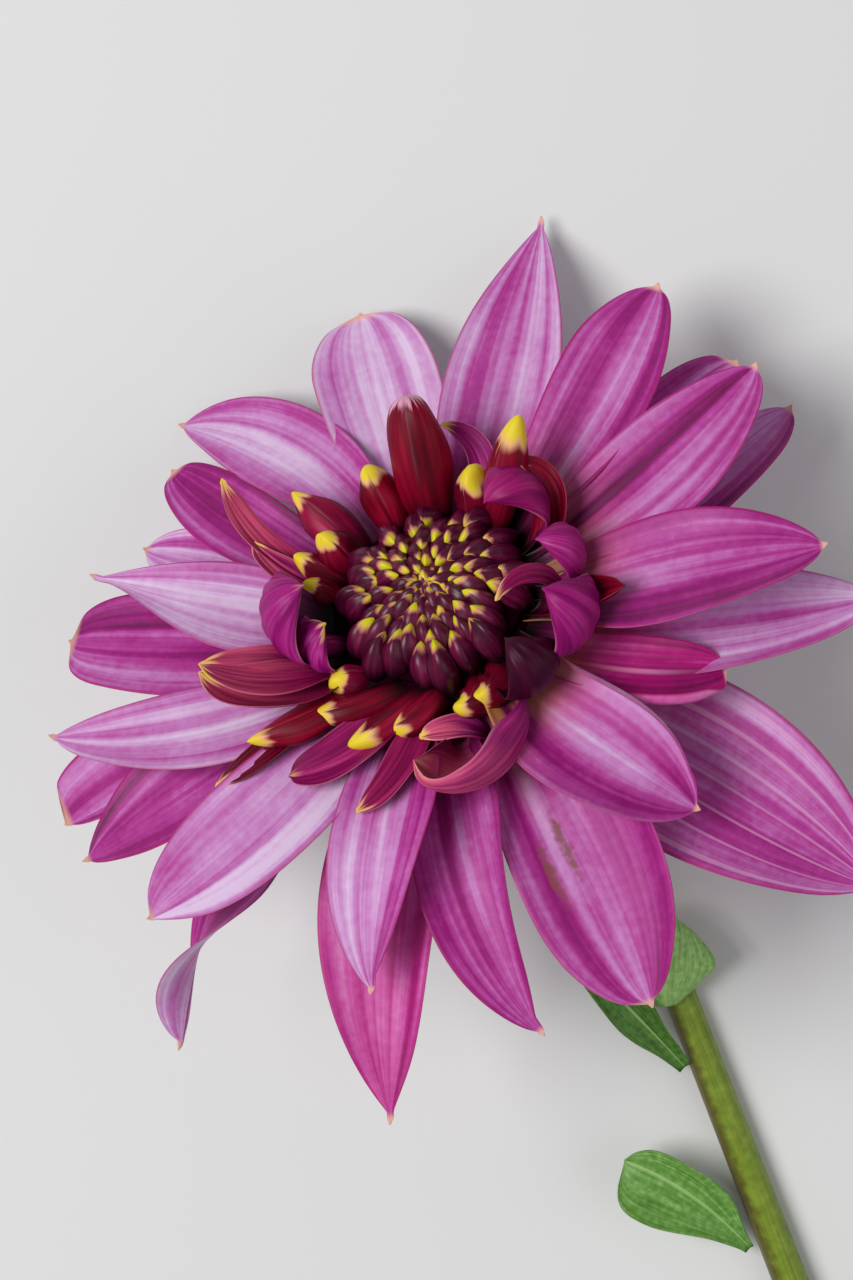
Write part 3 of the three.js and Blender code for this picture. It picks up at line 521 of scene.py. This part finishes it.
# Florets that are still rolled shut.
ROLLED_FLORETS = [
    dict(azimuth=60, length=19.5, width=8.2, rise=57, droop=48, broad=0.5, blunt=0.35, keel=0, pinch=0,
         tone=0, warmth=-1),
    dict(azimuth=20, length=19.5, width=6, rise=52, droop=50, broad=0.6, blunt=0.6, keel=0, warmth=0.9),
    dict(azimuth=33, length=11, width=5.6, rise=60, droop=72, broad=0.6, blunt=0.5, tone=-0.4, warmth=1),
    dict(azimuth=83, length=11.5, width=6, rise=44, droop=54, broad=0.6, blunt=0.5, warmth=0.8),
    dict(azimuth=108, length=15, width=6, rise=26, droop=18, broad=0.5, blunt=0.7, tone=0.2, warmth=0.7),
    dict(azimuth=118, length=9, width=5.2, rise=54, droop=76, tone=0.1, warmth=0.8),
    dict(azimuth=129, length=9.5, width=4.2, rise=38, droop=44, tone=0.1, warmth=1),
    dict(azimuth=139, length=7, width=4, rise=38, droop=50, tone=0.1, warmth=1),
    dict(azimuth=172, length=8, width=4.2, rise=30, droop=80, tone=0.5, warmth=0.5),
    dict(azimuth=202, length=7, width=4.8, rise=25, droop=55, aim=-25, tone=0.2, warmth=1),
    dict(azimuth=205, length=20, width=5, rise=8, droop=6, aim=-15, sway=-32, blunt=0.8, tone=0,
         warmth=0.6),
    dict(azimuth=226, length=14, width=4.4, rise=12, droop=4, aim=-45, sway=-35, tone=-0.25, warmth=1.1),
    dict(azimuth=238, length=13.5, width=4.6, rise=10, droop=2, aim=-30, sway=-45, tone=-0.25, warmth=1.1),
    dict(azimuth=250, length=11, width=4.6, rise=6, droop=4, aim=-35, sway=-60, tone=-0.25, warmth=1.1),
    dict(azimuth=272, length=8.5, width=4.8, rise=-10, droop=45, aim=-10, sway=-115, tone=-0.3, warmth=0.8),
    dict(azimuth=284, length=9, width=5.2, rise=-10, droop=45, aim=-16, sway=-118, tone=-0.3, warmth=0.8),
]


def floret_root(row, inwards=0):
    if "root" in row:
        return np.array(row["root"])
    height = FLORET_ROOT_HEIGHT + row.get("lift", 0)
    return polar(row["azimuth"], FLORET_ROOT_RADIUS - inwards, height)


def make_inner_florets(material, shade):
    pile = Pile(from_head)
    for number, row in enumerate(OPEN_FLORETS):
        add_blade(pile, {**FLORET, **row, "seed": number / 10}, floret_root(row), rows=44, columns=25)
    pile.make("open_florets", material, "inner_florets")
    pile = Pile(from_head)
    for number, row in enumerate(HOODED_FLORETS):
        add_blade(pile, {**HOOD, **row, "seed": 2 + number / 10}, floret_root(row), rows=52, columns=29)
    pile.make("hooded_florets", material, "inner_florets")
    pile = Pile(from_head)
    for number, row in enumerate(ROLLED_FLORETS):
        root = floret_root(row, inwards=1)
        add_spindle(pile, {**row, "seed": 5 + number / 10}, root, rings=36, sides=32)
    pile.make("rolled_florets", material, "inner_florets")
    radius, bottom, top = FLORET_CORE["radius"], FLORET_CORE["bottom"], FLORET_CORE["top"]
    profile = [(2, bottom), (FLORET_CORE["neck"], bottom), (radius, FLORET_CORE["side"])]
    profile += [(radius, top - 0.6), (radius - 0.6, top), (2, top)]
    pile = Pile(from_head)
    add_lathe(pile, profile)
    pile.make("floret_base", shade, "inner_florets")


# ---- Disc buds ----

BUD = dict(
    bend=1.2, hook=25, depth=0.8, neck=0.5, broad=0.6, blunt=0.7, keel=0.3, pinch=0.35,
    seam=0.08, lumps=0.05,
)


def dome_height(radius):
    return DISC_TOP - DISC_DROP * (radius / DISC_RADIUS) ** 2.2


def add_bud(pile, number, random):
    """A keeled teardrop that rises from the dome and hooks over its middle."""
    share = (number / DISC_BUDS) ** DISC_SPREAD
    radius = DISC_RADIUS * share
    row = dict(
        azimuth=number * GOLDEN_ANGLE + random.uniform(-4, 4),
        length=(3.8 + 5.2 * share) * random.uniform(0.92, 1.08),
        width=(2.0 + 2.1 * share) * random.uniform(0.94, 1.06),
        rise=112 - 28 * share + random.uniform(-4, 4),
        droop=178 - 14 * share + random.uniform(-8, 8),
        roll=random.uniform(-10, 10),
        seed=number / 7,
        tone=1 - share,
        warmth=random.uniform(0.4, 1),
    )
    depth = 1.6 + 2.2 * share
    add_spindle(pile, {**BUD, **row}, polar(row["azimuth"], radius, dome_height(radius) - depth))


def make_disc(material, shade):
    random = np.random.default_rng(12)
    pile = Pile(lambda points: from_head(points + DISC_SHIFT))
    core = DISC_RADIUS - 1
    profile = [(2, DISC_BOTTOM), (core, DISC_BOTTOM)]
    profile += [(core * part, dome_height(core * part) - 0.6) for part in (1, 0.8, 0.6, 0.4, 0.2)]
    add_lathe(pile, profile)
    pile.make("disc_core", shade, "disc_florets")
    pile = Pile(pile.place)
    for number in range(1, DISC_BUDS + 1):
        add_bud(pile, number, random)
    pile.make("disc_buds", material, "disc_florets")


# ---- Cup of bracts ----

INNER_BRACTS = 8
INNER_BRACT = dict(
    length=10, width=8, rise=-14, droop=-20, cup=12, root_cup=12, claw=0.8, hook=0, wave=0.2,
    thickness=BRACT_THICKNESS,
)
OUTER_BRACTS = 6
OUTER_BRACT = dict(
    length=17, width=7, rise=-20, droop=-60, cup=20, root_cup=20, claw=0.6, hook=0, wave=0.3,
    thickness=BRACT_THICKNESS,
)


def make_bract_cup(material):
    pile = Pile(from_head)
    profile = [(0.5, CUP_BOTTOM), (STEM_NECK_RADIUS + 1.2, CUP_BOTTOM)]
    profile += [(CUP_RADIUS * 0.75, CUP_BOTTOM + 1.6), (CUP_RADIUS, CUP_TOP - 1.2)]
    profile += [(CUP_RADIUS, CUP_TOP), (0.5, CUP_TOP)]
    add_lathe(pile, profile)
    for number in range(INNER_BRACTS):
        azimuth = 360 / INNER_BRACTS * (number + 0.5)
        root = polar(azimuth, CUP_RADIUS - 3, CUP_TOP - 1.4)
        shape = {**INNER_BRACT, "azimuth": azimuth, "seed": number / 10}
        add_blade(pile, shape, root, rows=24, columns=13)
    for number in range(OUTER_BRACTS):
        azimuth = 360 / OUTER_BRACTS * number
        root = polar(azimuth, CUP_RADIUS - 4.5, CUP_BOTTOM + 1.6)
        shape = {**OUTER_BRACT, "azimuth": azimuth, "seed": 1 + number / 10}
        add_blade(pile, shape, root, rows=24, columns=13)
    pile.make("bracts", material, "bract_cup")


# ---- Stem ----


def stem_path():
    """Centres and radii: off the back of the head, down in an arc, then flat along the table."""
    lean = math.radians(HEAD_LEAN)
    neck = np.array([0, math.cos(lean), math.sin(lean)])
    start = HEAD_POSITION + neck * (CUP_BOTTOM - 0.3)
    drop = start[2] - STEM_END_RADIUS
    straight = (drop - STEM_ARC_RADIUS * (1 - math.cos(lean))) / math.sin(lean)
    bend_start = start - neck * straight
    angles = lean * (1 - np.linspace(0, 1, STEM_ARC_STEPS))
    back = STEM_ARC_RADIUS * (math.sin(lean) - np.sin(angles))
    down = STEM_ARC_RADIUS * (np.cos(angles) - math.cos(lean))
    arc = np.stack([0 * back, bend_start[1] - back, bend_start[2] - down], -1)
    reach = np.linspace(0, STEM_LENGTH_ON_TABLE, STEM_FLAT_STEPS)[1:]
    flat = np.stack([0 * reach, arc[-1, 1] - reach, 0 * reach + arc[-1, 2]], -1)
    centres = np.concatenate([[start], arc, flat])
    shift_start = start[1] - STEM_SHIFT_START
    shifted = smooth(0, STEM_SHIFT_LENGTH, shift_start - centres[:, 1])
    centres[:, 0] = HEAD_POSITION[0] + STEM_SIDE_SHIFT * shifted
    share = (start[1] - centres[:, 1]) / (start[1] - centres[-1, 1])
    radii = STEM_NECK_RADIUS + (STEM_END_RADIUS - STEM_NECK_RADIUS) * share
    return centres, radii, share


def make_stem(material):
    centres, radii, share = stem_path()
    # The stem is thinner towards the head, so it is lowered there to keep its flat stretch on the table.
    place = np.arange(len(centres)) / STEM_ARC_STEPS
    centres[:, 2] -= (STEM_END_RADIUS - radii + STEM_SINK) * smooth(0.3, 1, place)
    along = unit(np.gradient(centres, axis=0))
    side = unit(np.cross([0.0, 0, 1], along))
    top = np.cross(along, side)
    turn = np.linspace(0, 2 * math.pi, STEM_SIDES, endpoint=False)
    grooves = 1 + STEM_GROOVE_DEPTH * np.cos(STEM_GROOVES * turn)
    out = radii[:, None] * grooves
    rings = centres[:, None, :]
    rings = rings + side[:, None, :] * (out * np.cos(turn))[..., None]
    rings = rings + top[:, None, :] * (out * np.sin(turn))[..., None]
    points = np.concatenate([rings.reshape(-1, 3), [centres[0], centres[-1]]])
    body, caps = tube_faces(len(centres), STEM_SIDES)
    pile = Pile()
    close_tube(
        pile, points, body, caps,
        along=np.concatenate([np.repeat(share, STEM_SIDES), [0, 1]]),
        across=np.concatenate([np.tile(np.cos(turn), len(centres)), [0, 0]]),
        under=np.concatenate([np.zeros(len(centres) * STEM_SIDES), [0, 1]]),
    )
    pile.make("stem_skin", material, "stem")


# ---- Leaves ----

LEAVES = {
    "upper_leaf": dict(
        root=(9.2, -21.5, 6.0), azimuth=76, length=15, width=15, rise=40, droop=-30, bend=1.2, sway=-30,
        cup=-20, root_cup=-20, claw=0.3, broad=0.5, point=0.5, tone=0.9,
    ),
    "middle_leaf": dict(
        root=(8.3, -31.5, 3.6), azimuth=108, length=26, width=7, rise=20, droop=10, sway=6,
        cup=50, root_cup=60, claw=0.35, tone=-0.4,
    ),
    "lower_leaf": dict(
        root=(7.6, -60.4, 3.6), azimuth=108, length=24, width=12, rise=20, droop=-8, sway=35,
        cup=40, root_cup=60, claw=0.15, broad=0.8, point=0.25, tone=0.2,
        left=dict(width=15), right=dict(width=9, broad=0.6, point=0.5),
    ),
}


def make_leaves(material):
    for seed, (name, row) in enumerate(LEAVES.items()):
        pile = Pile()
        shape = {**row, "thickness": LEAF_THICKNESS, "hook": 0, "ridges": 3, "seed": seed / 10}
        add_blade(pile, shape, np.array(row["root"]), rows=48, columns=25)
        pile.make(f"{name}_blade", material, name)


# ---- Materials ----


def srgb(red, green, blue):
    """A colour as seen on screen, in 0 to 255, as the linear colour that nodes take."""
    shares = [value / 255 for value in (red, green, blue)]
    linear = [s / 12.92 if s <= 0.04045 else ((s + 0.055) / 1.055) ** 2.4 for s in shares]
    return (*linear, 1)


# The colour sockets of a Mix node, which has others of the same names.
MIX_FIRST, MIX_SECOND, MIX_RESULT = 6, 7, 2


class Paint:
    """One material, written as short node expressions."""

    def __init__(self, name, roughness, **constants):
        self.material = bpy.data.materials.new(name)
        self.material.use_nodes = True
        self.tree = self.material.node_tree
        self.shader = self.tree.nodes["Principled BSDF"]
        self.shader.inputs["Roughness"].default_value = roughness
        for socket, value in constants.items():
            self.shader.inputs[socket.replace("_", " ")].default_value = value

    def node(self, kind, *values, **settings):
        made = self.tree.nodes.new(kind)
        for setting, value in settings.items():
            setattr(made, setting, value)
        for socket, value in zip(made.inputs, values):
            self.give(socket, value)
        return made

    def give(self, socket, value):
        if isinstance(value, bpy.types.NodeSocket):
            self.tree.links.new(value, socket)
        elif value is not None:
            socket.default_value = value

    def look(self, name):
        return self.node("ShaderNodeAttribute", attribute_name=name).outputs["Fac"]

    def math(self, operation, *values):
        return self.node("ShaderNodeMath", *values, operation=operation).outputs[0]

    def times(self, first, second):
        return self.math("MULTIPLY", first, second)

    def vary(self, value, noise, amount):
        """Adds noise to value, taken about its middle and scaled by amount."""
        return self.math("ADD", value, self.times(self.math("SUBTRACT", noise, 0.5), amount))

    def step(self, value, low, high, bottom=0.0, top=1.0):
        """Goes smoothly from bottom to top as value goes from low to high."""
        made = self.node(
            "ShaderNodeMapRange", value, low, high, bottom, top, interpolation_type="SMOOTHSTEP"
        )
        return made.outputs[0]

    def mix(self, factor, first, second):
        made = self.node("ShaderNodeMix", data_type="RGBA")
        self.give(made.inputs["Factor"], factor)
        self.give(made.inputs[MIX_FIRST], first)
        self.give(made.inputs[MIX_SECOND], second)
        return made.outputs[MIX_RESULT]

    def noise(self, vector, scale, detail=2.0):
        made = self.node("ShaderNodeTexNoise")
        for socket, value in (("Vector", vector), ("Scale", scale), ("Detail", detail)):
            self.give(made.inputs[socket], value)
        return made.outputs["Fac"]

    def vector(self, x, y, z):
        return self.node("ShaderNodeCombineXYZ", x, y, z).outputs[0]

    def place(self):
        return self.node("ShaderNodeTexCoord").outputs["Object"]

    def ramp(self, value, stops):
        made = self.node("ShaderNodeValToRGB", value)
        elements = made.color_ramp.elements
        while len(elements) < len(stops):
            elements.new(0.5)
        for element, (position, colour) in zip(elements, stops):
            element.position = position
            element.color = colour
        return made.outputs[0]

    def bump(self, height, distance, strength):
        made = self.node("ShaderNodeBump")
        made.inputs["Strength"].default_value = strength
        made.inputs["Distance"].default_value = distance * MM
        self.give(made.inputs["Height"], height)
        self.give(self.shader.inputs["Normal"], made.outputs[0])

    def colour(self, value):
        self.give(self.shader.inputs["Base Color"], value)


def streaks(paint, wide, long, seed_step, detail=2.0):
    """Noise drawn out along a blade, different on each blade."""
    across = paint.times(paint.look("across"), wide)
    along = paint.times(paint.look("along"), long)
    seed = paint.times(paint.look("seed"), seed_step)
    return paint.noise(paint.vector(across, along, seed), 1.0, detail)


# Share of the length and of the half width at which a blemished petal is brown, and how far
# each brown spot reaches along and across.
BLEMISHES = ((0.58, -0.5), (0.53, -0.2))
BLEMISH_LONG = 0.09
BLEMISH_WIDE = 0.07


def petal_material():
    paint = Paint("petal_satin", 0.5, Sheen_Weight=0.08, Sheen_Roughness=0.4, Specular_IOR_Level=0.3)
    along, across, tone = paint.look("along"), paint.look("across"), paint.look("tone")
    edge = paint.math("ABSOLUTE", across)
    broad = streaks(paint, 2.4, 0.5, 37.0)
    fine = streaks(paint, 15.0, 0.8, 91.0, detail=3.0)
    mottle = paint.noise(paint.place(), 900.0, 3.0)
    cloud = paint.noise(paint.place(), 90.0, 2.0)
    value = paint.times(tone, paint.step(along, 0.0, 0.5, 0.2, 0.52))
    value = paint.math("ADD", value, 0.36)
    value = paint.vary(value, broad, 1.5)
    value = paint.vary(value, fine, 0.36)
    value = paint.vary(value, mottle, 0.2)
    value = paint.vary(value, cloud, 0.35)
    value = paint.math("ADD", value, paint.times(paint.look("under"), 0.3))
    # Painted shade: the colour darkens towards the root, where the petals lie in each other's shade.
    value = paint.math("SUBTRACT", value, paint.step(along, 0.45, 0.02, 0.0, 0.3))
    # The pale lilac end of this ramp, reached by pale petals and broad blotches, is partly the petals' own
    # pale streaks and partly painted sheen from the sky.
    skin = paint.ramp(
        value,
        [
            (0.05, srgb(108, 6, 76)), (0.28, srgb(158, 20, 122)), (0.46, srgb(184, 64, 154)),
            (0.68, srgb(205, 134, 198)), (0.95, srgb(228, 198, 232)),
        ],
    )
    hot = paint.ramp(
        value,
        [
            (0.1, srgb(120, 4, 78)), (0.4, srgb(178, 14, 118)), (0.6, srgb(206, 70, 156)),
            (0.9, srgb(232, 150, 202)),
        ],
    )
    skin = paint.mix(paint.look("vivid"), skin, hot)
    rays = paint.math("COSINE", paint.times(across, 22.0))
    rays = paint.vary(rays, fine, 1.2)
    vein = paint.times(paint.step(rays, 0.75, 1.0), paint.look("veins"))
    vein = paint.times(vein, paint.step(along, 0.1, 0.35, 0.0, 0.45))
    skin = paint.mix(vein, skin, srgb(232, 176, 214))
    rim = paint.times(paint.step(edge, 0.93, 0.995), 0.75)
    skin = paint.mix(rim, skin, srgb(176, 14, 112))
    # Partly painted shade: the deep crimson near the root is partly the petals' own colour and partly the
    # shade between them by the disc.
    root = paint.step(along, 0.38, 0.06)
    skin = paint.mix(paint.times(root, 0.85), skin, srgb(104, 4, 40))
    glow = paint.times(paint.step(along, 0.55, 0.15), paint.look("warmth"))
    glow = paint.times(glow, paint.step(broad, 0.32, 0.58))
    crease = paint.times(paint.step(edge, 0.09, 0.02), paint.look("crease"))
    glow = paint.math("MAXIMUM", glow, paint.times(crease, paint.step(along, 0.95, 0.5, 0.0, 0.8)))
    warm = paint.ramp(
        along,
        [
            (0.16, srgb(214, 170, 40)), (0.3, srgb(216, 128, 84)), (0.46, srgb(222, 110, 150)),
            (0.7, srgb(232, 160, 205)),
        ],
    )
    skin = paint.mix(glow, skin, warm)
    for at, beside in BLEMISHES:
        ahead = paint.math("DIVIDE", paint.math("SUBTRACT", along, at), BLEMISH_LONG)
        aside = paint.math("DIVIDE", paint.math("SUBTRACT", across, beside), BLEMISH_WIDE)
        away = paint.math("ADD", paint.math("POWER", ahead, 2.0), paint.math("POWER", aside, 2.0))
        away = paint.vary(away, mottle, 3.0)
        spot = paint.times(paint.step(away, 1.6, 0.0, 0.0, 0.75), paint.look("blemish"))
        skin = paint.mix(spot, skin, srgb(132, 84, 52))
    skin = paint.mix(paint.step(along, 0.968, 0.99), skin, srgb(236, 178, 158))
    paint.colour(skin)
    height = paint.math("ADD", paint.times(fine, 0.7), paint.times(mottle, 0.5))
    paint.bump(height, 0.12, 0.5)
    return paint.material


def floret_material():
    paint = Paint("floret_silk", 0.42, Specular_IOR_Level=0.16)
    along, tone, warmth = paint.look("along"), paint.look("tone"), paint.look("warmth")
    edge = paint.math("ABSOLUTE", paint.look("across"))
    broad = streaks(paint, 2.6, 1.2, 41.0)
    fine = streaks(paint, 16.0, 1.5, 77.0, detail=3.0)
    value = paint.math("ADD", paint.times(broad, 0.7), paint.times(fine, 0.4))
    crimson = paint.ramp(
        value,
        [
            (0.25, srgb(46, 0, 12)), (0.48, srgb(104, 0, 26)), (0.66, srgb(150, 2, 44)),
            (0.9, srgb(206, 50, 100)),
        ],
    )
    magenta = paint.ramp(
        value,
        [
            (0.25, srgb(90, 2, 66)), (0.5, srgb(146, 10, 108)), (0.66, srgb(180, 44, 138)),
            (0.9, srgb(214, 136, 194)),
        ],
    )
    skin = paint.mix(paint.step(tone, 0.0, 1.0), crimson, magenta)
    skin = paint.mix(paint.step(tone, 0.0, -1.0, 0.0, 0.9), skin, srgb(48, 1, 34))
    # Partly painted light: vivid florets turn lighter pink, partly their own colour and partly the light
    # that the folded floret's self-shadowed inner face misses.
    bright = paint.times(paint.look("vivid"), paint.step(along, 0.25, 0.75))
    bright = paint.times(bright, paint.step(value, 0.35, 0.7))
    skin = paint.mix(bright, skin, srgb(226, 96, 124))
    # Painted shade: near black at the root, where the florets crowd round the disc in deep shade.
    skin = paint.mix(paint.step(along, 0.4, 0.05), skin, srgb(26, 0, 8))
    rim = paint.times(paint.step(edge, 0.95, 1.0), paint.step(tone, -0.2, 1.0, 0.05, 0.45))
    # The pale rim stops short of the painted shade at the root.
    rim = paint.times(rim, paint.step(along, 0.35, 0.6))
    skin = paint.mix(rim, skin, srgb(232, 150, 170))
    reach = paint.vary(along, broad, 0.4)
    reach = paint.math("ADD", reach, paint.times(warmth, 0.24))
    warm = paint.step(warmth, 0.0, 0.2)
    skin = paint.mix(paint.times(paint.step(reach, 0.97, 1.05), warm), skin, srgb(240, 176, 130))
    skin = paint.mix(paint.times(paint.step(reach, 1.02, 1.1), warm), skin, srgb(240, 212, 52))
    nib = paint.vary(along, fine, 0.3)
    nib = paint.times(paint.step(nib, 0.93, 0.98), paint.step(warmth, 0.0, -1.0))
    skin = paint.mix(nib, skin, srgb(224, 160, 186))
    paint.colour(skin)
    paint.bump(fine, 0.1, 0.5)
    return paint.material


def shade_material():
    """Painted shade: the flesh between the buds and florets, coloured near black for the shadow that fills
    it.
    """
    paint = Paint("floret_shade", 1.0, Specular_IOR_Level=0.0)
    paint.colour(paint.mix(paint.noise(paint.place(), 400.0), srgb(16, 0, 8), srgb(44, 2, 26)))
    return paint.material


def bud_material():
    paint = Paint("bud_wax", 0.34, Specular_IOR_Level=0.4)
    along = paint.look("along")
    broad = streaks(paint, 2.2, 1.6, 13.0)
    fine = streaks(paint, 14.0, 1.6, 29.0, detail=3.0)
    # The pale pinkish-grey top of this ramp is painted sheen on the bud bodies.
    skin = paint.ramp(
        paint.math("ADD", paint.times(broad, 0.5), paint.times(fine, 0.5)),
        [
            (0.25, srgb(38, 2, 24)), (0.48, srgb(82, 4, 44)), (0.64, srgb(120, 18, 66)),
            (0.85, srgb(164, 92, 124)),
        ],
    )
    skin = paint.mix(paint.step(along, 0.6, 0.25), skin, srgb(14, 0, 7))
    reach = paint.vary(along, broad, 0.45)
    reach = paint.math("ADD", reach, paint.times(paint.step(paint.look("tone"), 0.6, 1.0), 0.12))
    skin = paint.mix(paint.step(reach, 0.83, 0.9), skin, srgb(214, 140, 110))
    skin = paint.mix(paint.step(reach, 0.88, 0.95), skin, srgb(222, 212, 26))
    paint.colour(skin)
    paint.bump(fine, 0.1, 0.6)
    return paint.material


def green_material(name, dark, light, pale, roughness):
    paint = Paint(name, roughness, Specular_IOR_Level=0.4)
    edge = paint.math("ABSOLUTE", paint.look("across"))
    fine = streaks(paint, 14.0, 2.0, 53.0, detail=3.0)
    cells = paint.noise(paint.place(), 1100.0, 4.0)
    value = paint.math("ADD", paint.times(fine, 0.6), paint.times(cells, 0.5))
    value = paint.math("ADD", value, paint.times(paint.look("tone"), 0.25))
    skin = paint.ramp(value, [(0.3, dark), (0.6, light), (0.95, pale)])
    skin = paint.mix(paint.times(paint.step(edge, 0.1, 0.0), 0.7), skin, pale)
    paint.colour(skin)
    paint.bump(paint.math("ADD", fine, cells), 0.12, 0.6)
    return paint.material


def stem_material():
    paint = Paint("stem_satin", 0.42, Specular_IOR_Level=0.45)
    place = paint.place()
    side = paint.look("across")
    ribs = paint.noise(paint.vector(paint.times(side, 9.0), paint.look("along"), 0.0), 3.0, 3.0)
    cells = paint.noise(place, 700.0, 4.0)
    value = paint.math("ADD", paint.times(ribs, 0.6), paint.times(cells, 0.4))
    skin = paint.ramp(
        value, [(0.3, srgb(88, 108, 14)), (0.55, srgb(128, 152, 34)), (0.85, srgb(170, 188, 84))]
    )
    shade = paint.vary(side, cells, 0.6)
    skin = paint.mix(paint.step(shade, -0.05, -0.75, 0.0, 0.85), skin, srgb(84, 66, 22))
    paint.colour(skin)
    paint.bump(value, 0.15, 0.5)
    return paint.material


# ---- Stage, in metres; the camera's place is worked out in millimetres ----


def make_floor():
    half = 3.0
    mesh = bpy.data.meshes.new("floor")
    corners = [(-half, -half, 0), (half, -half, 0), (half, half, 0), (-half, half, 0)]
    mesh.from_pydata(corners, [], [(0, 1, 2, 3)])
    paint = Paint("floor_pale", 0.9, Specular_IOR_Level=0.1)
    paint.colour(paint.mix(paint.noise(paint.place(), 3.0), (0.78, 0.78, 0.77, 1), (0.82, 0.82, 0.81, 1)))
    mesh.materials.append(paint.material)
    floor = bpy.data.objects.new("floor", mesh)
    bpy.context.scene.collection.objects.link(floor)


def make_light(name, location, size, power):
    data = bpy.data.lights.new(name, "AREA")
    data.shape, data.size, data.energy = "DISK", size, power
    light = bpy.data.objects.new(name, data)
    light.location = location
    light.rotation_mode = "QUATERNION"
    light.rotation_quaternion = (-Vector(location)).to_track_quat("-Z", "Y")
    bpy.context.scene.collection.objects.link(light)


def make_world():
    world = bpy.data.worlds.new("studio")
    world.use_nodes = True
    background = world.node_tree.nodes["Background"]
    background.inputs["Color"].default_value = (0.95, 0.97, 1.0, 1)
    background.inputs["Strength"].default_value = 0.25
    bpy.context.scene.world = world
    bpy.context.scene.view_settings.view_transform = "Standard"


def make_camera():
    """Looks at the bloom from its lower side, off its axis, rolled as in the picture."""
    tilt, roll = math.radians(CAMERA_OFF_AXIS), math.radians(CAMERA_ROLL)
    towards = HEAD_FRAME @ np.array([0, -math.sin(tilt), math.cos(tilt)])
    rising = HEAD_FRAME @ np.array([0, math.cos(tilt), math.sin(tilt)])
    level = HEAD_FRAME @ np.array([1.0, 0, 0])
    right = level * math.cos(roll) - rising * math.sin(roll)
    up = rising * math.cos(roll) + level * math.sin(roll)
    pixel = CAMERA_DISTANCE * SENSOR / LENS / PICTURE_LONG_SIDE
    off_right = (BLOOM_SEEN_AT[0] - PICTURE_MIDDLE[0]) * pixel
    off_up = (PICTURE_MIDDLE[1] - BLOOM_SEEN_AT[1]) * pixel
    position = HEAD_POSITION + towards * CAMERA_DISTANCE - right * off_right - up * off_up
    data = bpy.data.cameras.new("camera")
    data.lens, data.sensor_width, data.sensor_fit = LENS, SENSOR, "AUTO"
    data.clip_start, data.clip_end = 0.01, 20
    camera = bpy.data.objects.new("camera", data)
    turn = Matrix([list(row) for row in np.stack([right, up, towards], axis=1)]).to_4x4()
    camera.matrix_world = Matrix.Translation(Vector(position * MM)) @ turn
    bpy.context.scene.collection.objects.link(camera)
    bpy.context.scene.camera = camera


# ---- Assembly ----

petal_paint = petal_material()
floret_paint = floret_material()
shade_paint = shade_material()
bract_paint = green_material(
    "bract_green", dark=srgb(58, 84, 20), light=srgb(112, 142, 52), pale=srgb(176, 196, 120),
    roughness=0.55,
)
leaf_paint = green_material(
    "leaf_green", dark=srgb(48, 88, 18), light=srgb(100, 152, 60), pale=srgb(172, 212, 132),
    roughness=0.5,
)

make_ray_petals(petal_paint)
make_receptacle(bract_paint)
make_inner_florets(floret_paint, shade_paint)
make_disc(bud_material(), shade_paint)
make_bract_cup(bract_paint)
make_stem(stem_material())
make_leaves(leaf_paint)

make_floor()
make_light("key", location=(-0.45, 0.35, 0.9), size=0.6, power=8)
make_light("fill", location=(0.7, -0.4, 0.7), size=0.9, power=1.6)
make_world()
make_camera()
